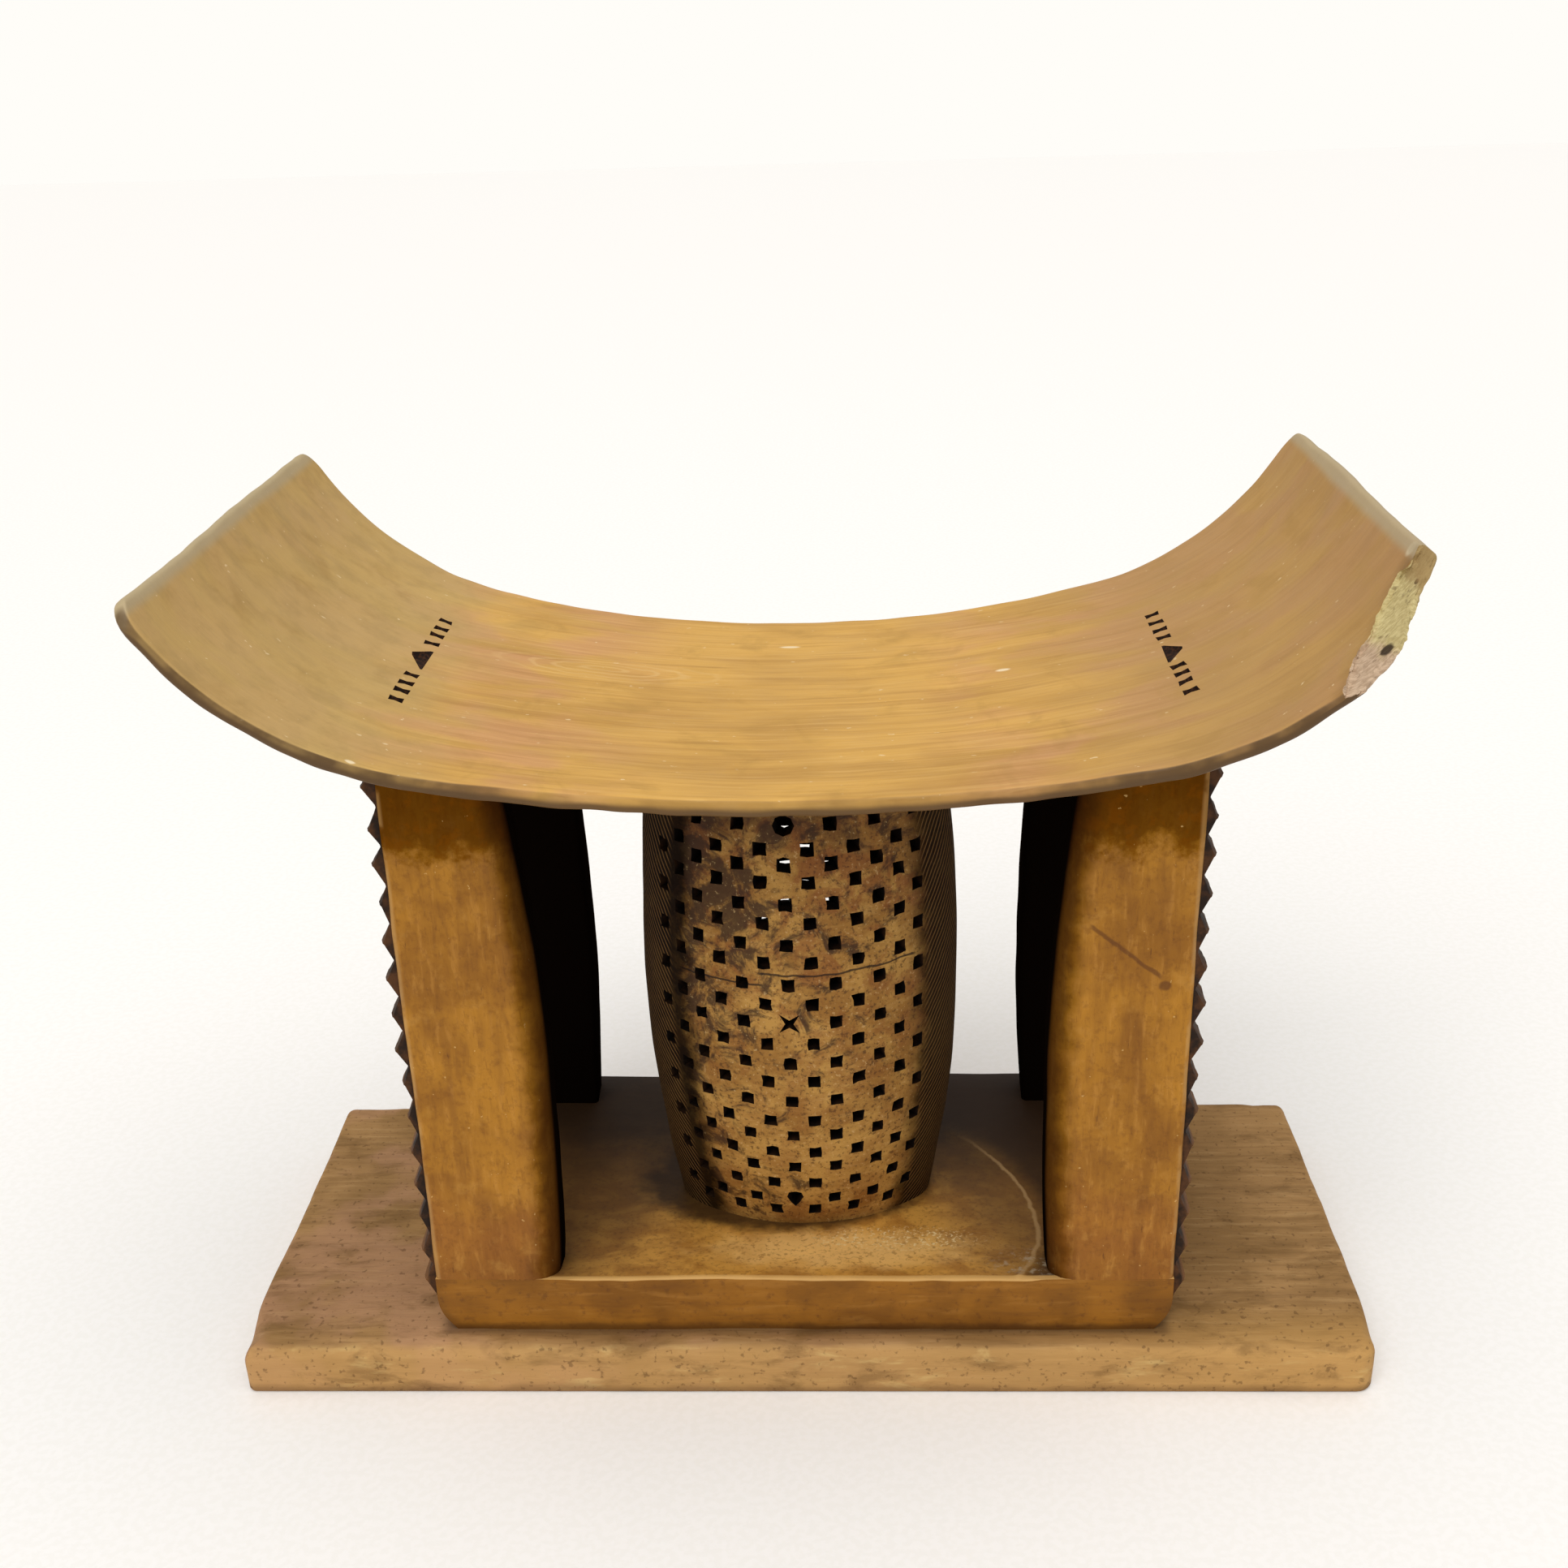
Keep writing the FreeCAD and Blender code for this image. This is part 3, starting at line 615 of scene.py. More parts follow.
def seat_place(run, y, drop=0.0):
    """A place by its run along the seat's top from the middle, and its depth below the top."""
    along = abs(run)
    if along <= SEAT_MIDDLE_RUN:
        turn = along / SEAT_MIDDLE_RADIUS
        centre_x, centre_z = 0, SEAT_CENTRE_HEIGHT + SEAT_MIDDLE_RADIUS
        reach = SEAT_MIDDLE_RADIUS + drop
    else:
        turn = SEAT_MIDDLE_ANGLE + (along - SEAT_MIDDLE_RUN) / SEAT_END_RADIUS
        centre_x, centre_z = END_CENTRE_X, END_CENTRE_Z
        reach = SEAT_END_RADIUS + drop
    x = centre_x + reach * sin(turn)
    return Vector((copysign(x, run), y, centre_z - reach * cos(turn)))


TIP_X = seat_place(SEAT_RUN, 0).x
FLARE = (SEAT_END_DEPTH - SEAT_MIDDLE_DEPTH) / 2
FLARE_RADIUS = (TIP_X ** 2 + FLARE ** 2) / (2 * FLARE)


def seat_thickness(run, y):
    core_y = SEAT_CORE_DEPTH / 2
    taper = max(abs(y) - core_y, 0) / (SEAT_END_DEPTH / 2 - core_y)
    thickness = SEAT_CORE_THICKNESS + (SEAT_EDGE_THICKNESS - SEAT_CORE_THICKNESS) * taper
    end_share = max(abs(run) - SEAT_MIDDLE_RUN, 0) / SEAT_END_RUN
    return thickness + (SEAT_EDGE_THICKNESS - thickness) * end_share ** 2


def seat_half_depth(run):
    x = abs(seat_place(run, 0).x)
    half = SEAT_MIDDLE_DEPTH / 2 + arc_drop(FLARE_RADIUS, x)
    to_tip = SEAT_RUN - abs(run)
    if to_tip < SEAT_CORNER_ROUND:
        half -= arc_drop(SEAT_CORNER_ROUND, SEAT_CORNER_ROUND - to_tip)
    return half


def seat_under_height(x):
    """The height of the underside over a member, where the seat is thick."""
    x = abs(x)
    reach = SEAT_MIDDLE_RADIUS + SEAT_CORE_THICKNESS
    joint_x = reach * sin(SEAT_MIDDLE_ANGLE)
    height = SEAT_CENTRE_HEIGHT - SEAT_CORE_THICKNESS + arc_drop(reach, min(x, joint_x))
    if x > joint_x:
        past = x - joint_x
        height += past * tan(SEAT_MIDDLE_ANGLE) + past ** 2 / (2 * SEAT_END_RADIUS)
    return height


def edge_steps(half, count):
    """Distances from minus half to half, close together near both ends."""
    edges = (0, 0.25, 0.6, 1.1, 1.8, 2.9, 4.5)
    low = [-half + step for step in edges]
    high = [half - step for step in reversed(edges)]
    return low + spread(low[-1], high[0], count)[1:-1] + high


def rim_drop(distance, radius):
    return arc_drop(radius, radius - distance) if distance < radius else 0


def seat():
    runs = edge_steps(SEAT_RUN, SEAT_STRIPS_ALONG)
    top, under = [], []
    for run in runs:
        half = seat_half_depth(run)
        across = edge_steps(half, SEAT_STRIPS_ACROSS)
        for y in across:
            edge = min(half - abs(y), SEAT_RUN - abs(run))
            wear = 1 + 0.5 * waver(run / 14, y / 14, 2)
            wave = waver(run / 45, y / 22, 4) * 0.5 * smooth_step(0, 20, edge)
            rough = waver(run / 12, y / 12, 8) * 0.5
            top.append(seat_place(run, y, rim_drop(edge, TOP_WEAR * wear) + wave))
            depth = seat_thickness(run, y) - rim_drop(edge, UNDER_WEAR * wear) + rough
            under.append(seat_place(run, y, depth))
    width = len(across)
    count = len(top)
    last = count - width
    faces = []
    for low in range(0, last, width):
        for start in range(low, low + width - 1):
            high = start + width
            faces.append((start, start + 1, high + 1, high))
            faces.append((count + start, count + high, count + high + 1, count + start + 1))
    for index in range(width - 1):
        for start in (index, last + index):
            faces.append((start, start + 1, count + start + 1, count + start))
    for low in range(0, last, width):
        for start in (low, low + width - 1):
            faces.append((start, start + width, count + start + width, count + start))
    piece = make_piece("seat_wood", top + under, faces, 50)
    piece.data.materials.append(seat_material())
    for side_x, marks in ((LEFT, LEFT_MARKS), (RIGHT, RIGHT_MARKS)):
        cut_out(piece, mark_cutter(side_x, marks), 50)
    cut_out(piece, break_cutter(), 50)
    return piece


# The cut marks: the place of each bar across the seat, and of a triangle in their middle
MARK_X = 137
BAR_LENGTH = 5.4
BAR_END_WIDTH = 4.4
BAR_WAIST = 2.9
# A mark is cut narrower as it goes down: depths, each with its share of the outline
MARK_LAYERS = ((-1.5, 1.15), (0, 1), (1.6, 0.72))
LEFT_MARKS = (45.9, 36.5, 28.5, 18.7, -14.6, -23.9, -31.4, -39.9)
RIGHT_MARKS = (40.7, 31.0, 22.0, 13.4, -19.9, -27.6, -35.8, -45.2)
LEFT_TRIANGLE = ((-4.6, 4.6), (-4.0, 2.0), (1.4, -7.6), (2.2, -7.4), (2.4, 10.6), (1.2, 10.4))
RIGHT_TRIANGLE = ((-2.3, 5.3), (-1.4, 5.0), (4.6, -3.0), (4.3, -5.2), (-1.6, -14.2), (-2.5, -14.0))


def mark_cutter(side_x, marks):
    """Small wedges for one row of marks, all in one object."""
    chance = random.Random(side_x + 20)
    outlines = []
    half = BAR_LENGTH / 2
    wide, narrow = BAR_END_WIDTH / 2, BAR_WAIST / 2
    shape = ((-half, -wide), (0, -narrow), (half, -wide), (half, wide), (0, narrow), (-half, wide))
    for y in marks:
        lean = chance.gauss(0, 0.4)
        outlines.append([(x + chance.gauss(0, 0.2), y + dy + lean * x / half) for x, dy in shape])
    outlines.append(list(LEFT_TRIANGLE if side_x == LEFT else RIGHT_TRIANGLE))
    points, faces = [], []
    middle_run = run_at(MARK_X)
    for outline in outlines:
        centre_x = sum(x for x, _ in outline) / len(outline)
        centre_y = sum(y for _, y in outline) / len(outline)
        size = len(outline)
        first = len(points)
        for depth, scale in MARK_LAYERS:
            for x, y in outline:
                run = side_x * middle_run + centre_x + (x - centre_x) * scale
                points.append(seat_place(run, centre_y + (y - centre_y) * scale, depth))
        faces += ring_faces(first, size, len(MARK_LAYERS))
    cutter = make_piece("marks_" + ("left" if side_x == LEFT else "right"), points, faces)
    cutter.data.materials.append(mark_material())
    return cutter


def run_at(x):
    """The run along the seat's top where it stands over a distance from the middle."""
    joint_x = SEAT_MIDDLE_RADIUS * sin(SEAT_MIDDLE_ANGLE)
    if x <= joint_x:
        return SEAT_MIDDLE_RADIUS * asin(x / SEAT_MIDDLE_RADIUS)
    turn = asin((x - END_CENTRE_X) / SEAT_END_RADIUS)
    return SEAT_MIDDLE_RUN + SEAT_END_RADIUS * (turn - SEAT_MIDDLE_ANGLE)


# The broken corner: its line on the top and its line on the underside, which stands out further.
# Each place is a distance in from the tip and a place across the seat.
BREAK_TOP = (
    (-14, -62), (0, -67), (7.3, -69.8), (11, -66), (23.4, -73.9),
    (31, -83.3), (36, -85.5), (44, -97.3), (56, -119),
)
BREAK_UNDER = (
    (-14, -68), (0, -74), (11, -79), (20, -88), (24, -95),
    (30, -99), (37, -100), (44, -104), (56, -121),
)
BREAK_FAR_Y = -136


def walk(line, count):
    """Evenly spaced places along a line of places."""
    lengths = [0]
    for start, end in zip(line, line[1:]):
        lengths.append(lengths[-1] + dist(start, end))
    places = []
    for target in spread(0, lengths[-1], count):
        leg = max(index for index, length in enumerate(lengths[:-1]) if length <= target + 1e-9)
        share = (target - lengths[leg]) / (lengths[leg + 1] - lengths[leg])
        (start_a, start_b), (end_a, end_b) = line[leg], line[leg + 1]
        places.append((start_a + (end_a - start_a) * share, start_b + (end_b - start_b) * share))
    return places


def break_cutter():
    """A block whose ragged inner side steps out from the upper layer to the lower one."""
    upper = walk(BREAK_TOP, 90)
    lower = walk(BREAK_UNDER, 90)
    rings = []
    for depth in (-5, -0.4, 0.3, 0.9, 1.5, 2.0, 2.5, 3.0, 3.5, 4.1, 4.8, 5.6, 6.6, 8, 14):
        stepped = smooth_step(1.3, 3.0, depth)
        ring = []
        for (in_a, y_a), (in_b, y_b) in zip(upper, lower):
            inward = in_a + (in_b - in_a) * stepped
            y = y_a + (y_b - y_a) * stepped
            seed = Vector((inward / 7, depth / 0.9, y / 2.2))
            ragged = noise.noise(seed) * 1.6 + noise.noise(seed * 2.7) * 0.8
            ring.append(seat_place(SEAT_RUN - inward, y + ragged, depth))
        ring.append(seat_place(SEAT_RUN - BREAK_TOP[-1][0], BREAK_FAR_Y, depth))
        ring.append(seat_place(SEAT_RUN - BREAK_TOP[0][0], BREAK_FAR_Y, depth))
        rings.append(ring)
    cutter = loft("break_block", rings, uneven=False)
    cutter.data.materials.append(broken_material())
    return cutter


# Materials

SPECULAR = 0.22
# A scratch in the right front post: its height falls this much for each millimetre to the right
SCRATCH_SLOPE = 0.78
SCRATCH_LEVEL = 275.8
SCRATCH_REACH = (103, 128)
SCRATCH_KNOT = (129.6, 0, 170.7)
# The column's hatching from groove to groove, and its drying crack, each of whose two lengths,
# the right and the left one, has a height and a reach
HATCH_STEP = 3.3
CRACKS = ((163.3, -14, 44), (158.8, -44, -13))
# Two worm holes in the break, each with its size
WORM_HOLES = ((seat_place(197, -94, 2.4), 2.8), (seat_place(217, -76, 2.5), 1.1))
# Pale nicks in the seat: across and along it, and half their length and width
NICKS = (
    (78.3, 13.6, 3.4, 1.6), (-138.3, -99.0, 2.0, 1.2),
    (-3.0, 62.0, 5.0, 1.4), (200.4, -63.0, 1.8, 3.2),
)


def srgb(red, green, blue):
    """A colour given from 0 to 255, as the linear colour that Blender wants."""
    values = []
    for value in (red, green, blue):
        share = value / 255
        values.append(share / 12.92 if share <= 0.04045 else ((share + 0.055) / 1.055) ** 2.4)
    return (*values, 1.0)


def add_node(tree, kind, inputs=(), **settings):
    """A shader node with its settings, and its inputs fed by their names or numbers."""
    node = tree.nodes.new(kind)
    for name, value in settings.items():
        setattr(node, name, value)
    for key, source in dict(inputs).items():
        feed(node.inputs[key], source)
    return node


def feed(socket, source):
    """Links a socket to a source, or sets it where the source is a constant."""
    if isinstance(source, Value):
        source = source.socket
    if isinstance(source, bpy.types.NodeSocket):
        socket.id_data.links.new(source, socket)
    else:
        socket.default_value = source


class Value:
    """A number or a colour that nodes work out, so that sums are written as usual."""

    def __init__(self, socket):
        self.socket = socket

    def math(self, operation, *others):
        tree = self.socket.id_data
        node = add_node(tree, "ShaderNodeMath", enumerate((self, *others)), operation=operation)
        return Value(node.outputs[0])

    def __add__(self, other):
        return self.math("ADD", other)

    def __sub__(self, other):
        return self.math("SUBTRACT", other)

    def __mul__(self, other):
        return self.math("MULTIPLY", other)

    def __truediv__(self, other):
        return self.math("DIVIDE", other)

    def __abs__(self):
        return self.math("ABSOLUTE")


class Material:
    """A principled material whose nodes are made by short calls, with sizes in millimetres.

    Its colour is laid on in layers: one tint, and then stains over it.
    """

    def __init__(self, name):
        self.data = bpy.data.materials.new(name)
        self.data.use_nodes = True
        self.data.node_tree.nodes.clear()
        self.skin = self.add("ShaderNodeBsdfPrincipled", {"Specular IOR Level": SPECULAR})
        self.add("ShaderNodeOutputMaterial", {"Surface": self.skin.outputs["BSDF"]})
        place = self.add("ShaderNodeTexCoord").outputs["Object"]
        self.place = self.vector_math("MULTIPLY", place, (1 / MM,) * 3)
        self.x, self.y, self.z = self.split(self.place)
        normal = self.add("ShaderNodeNewGeometry").outputs["Normal"]
        self.facing_x, self.facing_y, self.facing_z = self.split(normal)
        self.colour = None
        self.relief = None

    def add(self, kind, inputs=(), **settings):
        return add_node(self.data.node_tree, kind, inputs, **settings)

    def split(self, vector):
        return [Value(socket) for socket in self.add("ShaderNodeSeparateXYZ", {0: vector}).outputs]

    def vector_math(self, operation, *vectors, output="Vector"):
        node = self.add("ShaderNodeVectorMath", enumerate(vectors), operation=operation)
        return node.outputs[output]

    def noise(self, size, detail=3, roughness=0.5, distortion=0, stretch=(1, 1, 1)):
        """Noise whose spots are about a size across, longer along an axis that is stretched."""
        place = self.vector_math("MULTIPLY", self.place, [1 / (size * factor) for factor in stretch])
        look = {"Detail": detail, "Roughness": roughness, "Distortion": distortion}
        return Value(self.add("ShaderNodeTexNoise", {"Vector": place, "Scale": 1, **look}).outputs[0])

    def step(self, source, low, high, start=0.0, end=1.0):
        """A smooth step of a value from start at low to end at high."""
        inputs = {"Value": source, "From Min": low, "From Max": high, "To Min": start, "To Max": end}
        node = self.add("ShaderNodeMapRange", inputs, interpolation_type="SMOOTHSTEP")
        return Value(node.outputs["Result"])

    def spots(self, size, low, high, *look):
        """A smooth step of noise from nought at low to one at high."""
        return self.step(self.noise(size, *look), low, high)

    def reach(self, centre, radii):
        """How far a place is from a centre, in radii. An axis without a radius doesn't count."""
        offset = self.vector_math("SUBTRACT", self.place, (*centre, 0)[:3])
        shares = [1 / radius if radius else 0 for radius in (*radii, None)[:3]]
        offset = self.vector_math("MULTIPLY", offset, shares)
        return Value(self.vector_math("LENGTH", offset, output="Value"))

    def line(self, along, across, start, end, width):
        """One on a thin line where across is about nought, from start to end along it."""
        near = self.step(abs(across), width, width / 3)
        return near * self.step(along, start - 1, start + 1) * self.step(along, end + 1, end - 1)

    def mix(self, share, first, second):
        node = self.add("ShaderNodeMix", {0: share}, data_type="RGBA")
        feed(node.inputs[6], first)
        feed(node.inputs[7], second)
        return Value(node.outputs[2])

    def tint(self, share, first, second):
        """Starts the colour, from a first shade to a second one."""
        self.colour = self.mix(share, srgb(*first), srgb(*second))

    def stain(self, share, *shade):
        """Lays a shade over the colour so far."""
        self.colour = self.mix(share, self.colour, srgb(*shade))

    def gloss(self, level):
        feed(self.skin.inputs["Specular IOR Level"], level)

    def bump(self, height, distance):
        """Adds a layer of relief, as deep in millimetres as its distance."""
        below = {"Normal": self.relief} if self.relief else {}
        node = self.add("ShaderNodeBump", {"Distance": distance * MM, "Height": height, **below})
        self.relief = node.outputs["Normal"]

    def finish(self, roughness):
        feed(self.skin.inputs["Base Color"], self.colour)
        feed(self.skin.inputs["Roughness"], roughness)
        if self.relief:
            feed(self.skin.inputs["Normal"], self.relief)
        return self.data


def add_grain(wood, dark, light, strength=1.0, stretch=(30, 1, 6), depth=0.1):
    """Fine streaks along the block, darker and lighter, with pores between them."""
    streaks = wood.noise(1.5, 4, 0.6, 0.3, stretch)
    bands = wood.noise(6, 3, 0.55, 0.6, stretch)
    pores = wood.noise(0.5, 2, 0.5, 0, stretch)
    wood.stain(wood.step(streaks, 0.5, 0.7, 0, 0.4 * strength), *dark)
    wood.stain(wood.step(streaks, 0.48, 0.3, 0, 0.4 * strength), *light)
    wood.stain(wood.step(bands, 0.5, 0.66, 0, 0.35 * strength), *dark)
    wood.stain(wood.step(pores, 0.6, 0.75, 0, 0.4 * strength), *dark)
    wood.bump(streaks, depth)
    wood.bump(pores, depth * 0.5)


def seat_material():
    wood = Material("seat_wood")
    out = abs(wood.x)
    tone = wood.spots(40, 0.38, 0.62, 3, 0.55, 0.3, (2, 1, 1))
    wood.tint(tone, (216, 168, 86), (198, 152, 78))
    pink = wood.spots(30, 0.42, 0.6, 3, 0.5, 0.4, (2, 1, 1)) * wood.step(out, 35, 90)
    wood.stain(pink * 0.6, 206, 150, 108)
    add_grain(wood, (160, 112, 52), (232, 190, 118), 0.7, (30, 1.2, 12))
    left = wood.step(wood.x + wood.noise(26) * 50, -75, -125)
    wood.stain(left * 0.75, 192, 162, 102)
    right = wood.step(wood.x, 70, 150)
    wood.stain(right * 0.65, 168, 132, 82)
    wood.stain(seat_figure(wood) * 0.3, 232, 196, 132)
    mottle = wood.spots(10, 0.42, 0.72, 4, 0.6, 0.15, (1, 1, 1.6))
    wood.stain(mottle * 0.25 * left, 140, 114, 64)
    greasy = wood.noise(24, 4, 0.6, 0.5)
    wood.stain(wood.step(greasy, 0.52, 0.72, 0, 0.3), 160, 124, 66)
    flecks = wood.spots(2.4, 0.72, 0.76, 2, 0.5, 0, (2, 1, 1))
    wood.stain(flecks * 0.6, 238, 214, 168)
    for nick_x, nick_y, half_length, half_width in NICKS:
        nick = wood.step(wood.reach((nick_x, nick_y), (half_length, half_width)), 1.0, 0.5)
        wood.stain(nick * 0.8, 246, 228, 190)
    # Painted shadow on the top beside the break.
    to_break = wood.x * 0.833 - wood.y * 0.556 + wood.noise(8) * 4
    break_shadow = wood.step(to_break, 197, 206) * wood.step(wood.y, -58, -68)
    wood.stain(break_shadow * 0.6, 124, 90, 46)
    add_seat_edges(wood, out)
    wood.bump(wood.noise(7, 2), 0.25)
    return wood.finish(wood.step(greasy, 0.3, 0.7, 0.42, 0.62))


def seat_figure(wood):
    """Pointed rings of grain left of the middle, where the hollow cuts through the years."""
    wander = wood.noise(12) * 0.35
    reach = wood.reach((-72, 24), (38, 10)) + wander
    rings = wood.step((reach * (2 * pi / 0.3)).math("SINE"), 0.2, 1)
    return rings * wood.step(reach, 1.7, 0.9)


def add_seat_edges(wood, out):
    """Painted shade on the underside, a darker front edge, and the ends that hands have rubbed grey."""
    # Painted shade on the faces that look down.
    under = wood.step(wood.facing_z, 0.12, -0.15)
    wood.stain(under * 0.9, 92, 66, 38)
    outward = wood.facing_x * wood.x.math("SIGN")
    rubbed = wood.step(outward, 0.1, 0.35).math("MAXIMUM", wood.step(out, TIP_X - 3.2, TIP_X - 1.2))
    rubbed = rubbed * wood.step(out, 178, 190) * wood.step(wood.facing_z, -0.1, 0.3)
    wood.stain(rubbed * 0.8, 184, 168, 134)
    edge = wood.step(wood.facing_y, -0.45, -0.8) * (wood.spots(14, 0.3, 0.6) * 0.4 + 0.6)
    wood.stain(edge * wood.step(out, 60, 120, 0.35, 0.95), 92, 68, 40)
    back_edge = wood.step(wood.facing_y, 0.45, 0.85, 0, 0.5)
    wood.stain(back_edge, 120, 92, 54)


def mark_material():
    wood = Material("burnt_cut")
    wood.tint(wood.spots(1.2, 0.4, 0.7), (30, 16, 9), (72, 42, 22))
    wood.bump(wood.noise(0.5), 0.1)
    return wood.finish(0.8)


def broken_material():
    """Split wood: pale yellow above, greyish pink below, with the mouths of two worm holes."""
    wood = Material("broken_wood")
    fibre = wood.noise(0.8, 4, 0.6, 0.3, (6, 1, 2))
    wood.tint(wood.step(fibre, 0.35, 0.65), (208, 192, 138), (180, 162, 110))
    low = wood.step(wood.z + wood.noise(7) * 8, 307, 303)
    pinkish = wood.mix(wood.step(fibre, 0.35, 0.65), srgb(206, 178, 152), srgb(172, 144, 120))
    wood.colour = wood.mix(low * 0.9, wood.colour, pinkish)
    for place, size in WORM_HOLES:
        hole = wood.step(wood.reach(place, (size,) * 3) + wood.noise(2) * 0.5, 1.3, 0.9)
        wood.stain(hole * 0.92, 44, 28, 18)
    dirt = wood.spots(3.2, 0.6, 0.72)
    wood.stain(dirt * 0.5, 96, 72, 46)
    tip = wood.step(wood.x + wood.noise(4) * 4, 199, 202)
    wood.stain(tip * 0.8, 158, 128, 82)
    wood.bump(fibre, 0.4)
    return wood.finish(0.85)


def from_inner_edge(wood):
    """How far a place on a post is from the post's bowed inner side."""
    height = wood.z - POST_WAIST
    bow = height * height / (2 * POST_BOW_RADIUS)
    return abs(wood.x) - bow + (POST_WIDTH - HALF_PLINTH)


def post_material():
    """Polished golden brown outside, with painted shade: dark at the top under the seat and black towards
    the column.
    """
    wood = Material("post_wood")
    tone = wood.spots(34, 0.35, 0.65, 4, 0.55, 0.4)
    wood.tint(tone, (176, 120, 34), (146, 95, 25))
    foot = wood.step(wood.z + wood.noise(18) * 40, 118, 78)
    wood.stain(foot * 0.45, 146, 84, 38)
    wood.stain(wood.step(wood.z, 78, 42, 0, 0.6), 132, 82, 22)
    add_grain(wood, (108, 62, 18), (204, 146, 66), 0.75, (2, 2, 10), 0.06)
    wood.stain(wood.spots(2.6, 0.5, 0.64, 5, 0.7) * 0.28, 104, 58, 16)
    wear = wood.noise(12, 5, 0.65)
    wood.stain(wood.step(wear, 0.54, 0.7, 0, 0.3), 196, 144, 68)
    # Painted shade at the top of each post, under the seat.
    top = wood.step(wood.z + wood.noise(10, 5, 0.65) * 32, 232, 246)
    wood.stain(top * 0.8, 84, 45, 3)
    # A reddish mottle within that painted shade.
    top_shade_mottle = wood.spots(5, 0.48, 0.62, 4, 0.65) * top
    wood.stain(top_shade_mottle * 0.5, 124, 70, 8)
    scuffs = wood.spots(1.5, 0.68, 0.75, 3, 0.6, 0, (1, 1, 5))
    wood.stain(scuffs * 0.55, 84, 46, 16)
    chips = wood.spots(2.2, 0.735, 0.76, 2)
    wood.stain(chips * 0.6, 216, 178, 112)
    wood.stain(post_scratch(wood) * 0.7, 96, 54, 18)
    corner = wood.step(abs(wood.x), HALF_PLINTH - 2.4, HALF_PLINTH - 1.0) * wood.spots(11, 0.35, 0.55)
    wood.stain(corner * 0.4, 200, 158, 98)
    # Painted shade along the rounded inner edge.
    inner = wood.step(from_inner_edge(wood) + wood.noise(9) * 8, 16, 5)
    wood.stain(inner * 0.85, 56, 30, 11)
    # Painted shade: the faces towards the column are painted nearly black.
    inside = wood.step(abs(wood.y), 68, 62)
    wood.stain(inside, 14, 8, 5)
    wood.bump(wood.noise(9, 2), 0.3)
    # Less gloss where shade is painted.
    painted_shade = top.math("MAXIMUM", inner.math("MAXIMUM", inside))
    wood.gloss(wood.step(painted_shade, 0, 0.7, 0.2, 0))
    return wood.finish(wood.step(wear, 0.3, 0.7, 0.45, 0.6))


def post_scratch(wood):
    """A wavering scratch down the right front post, ending at a dark knot."""
    wander = wood.noise(7) * 3
    across = wood.z + wood.x * SCRATCH_SLOPE - SCRATCH_LEVEL + wander
    scratch = wood.line(wood.x, across, *SCRATCH_REACH, 1.5)
    knot = wood.step(wood.reach(SCRATCH_KNOT, (2.6, None, 2.2)), 1.1, 0.6)
    return scratch.math("MAXIMUM", knot) * wood.step(wood.y, -66, -70)


def plinth_material():
    wood = Material("plinth_wood")
    tone = wood.spots(34, 0.35, 0.65, 4, 0.55, 0.4)
    wood.tint(tone, (152, 98, 23), (126, 79, 16))
    add_grain(wood, (88, 48, 16), (186, 132, 60), 0.6, (20, 6, 3), 0.08)
    wood.stain(wood.spots(3.6, 0.53, 0.7, 4, 0.65) * 0.4, 84, 46, 18)
    above = wood.step(wood.facing_z, 0.5, 0.9)
    sides = wood.colour
    paint_plinth_floor(wood)
    wood.colour = wood.mix(above, sides, wood.colour)
    rim = wood.step(wood.y, -69.0, -70.4) * wood.step(wood.facing_z, 0.3, 0.6)
    wood.stain(rim * 0.85, 214, 168, 100)
    ragged = wood.noise(10) * 4
    # Painted shade along the foot, where the plinth meets the base. The ends are darker too, more so lower
    # down.
    foot = wood.step(wood.z + ragged, 27.5, 24.5)
    ends = wood.step(abs(wood.x) - wood.z * 0.5 + ragged, 118, 132)
    wood.stain((foot * 0.6).math("MAXIMUM", ends * 0.55), 58, 32, 14)
    wood.bump(wood.noise(9, 2), 0.3)
    return wood.finish(0.55)


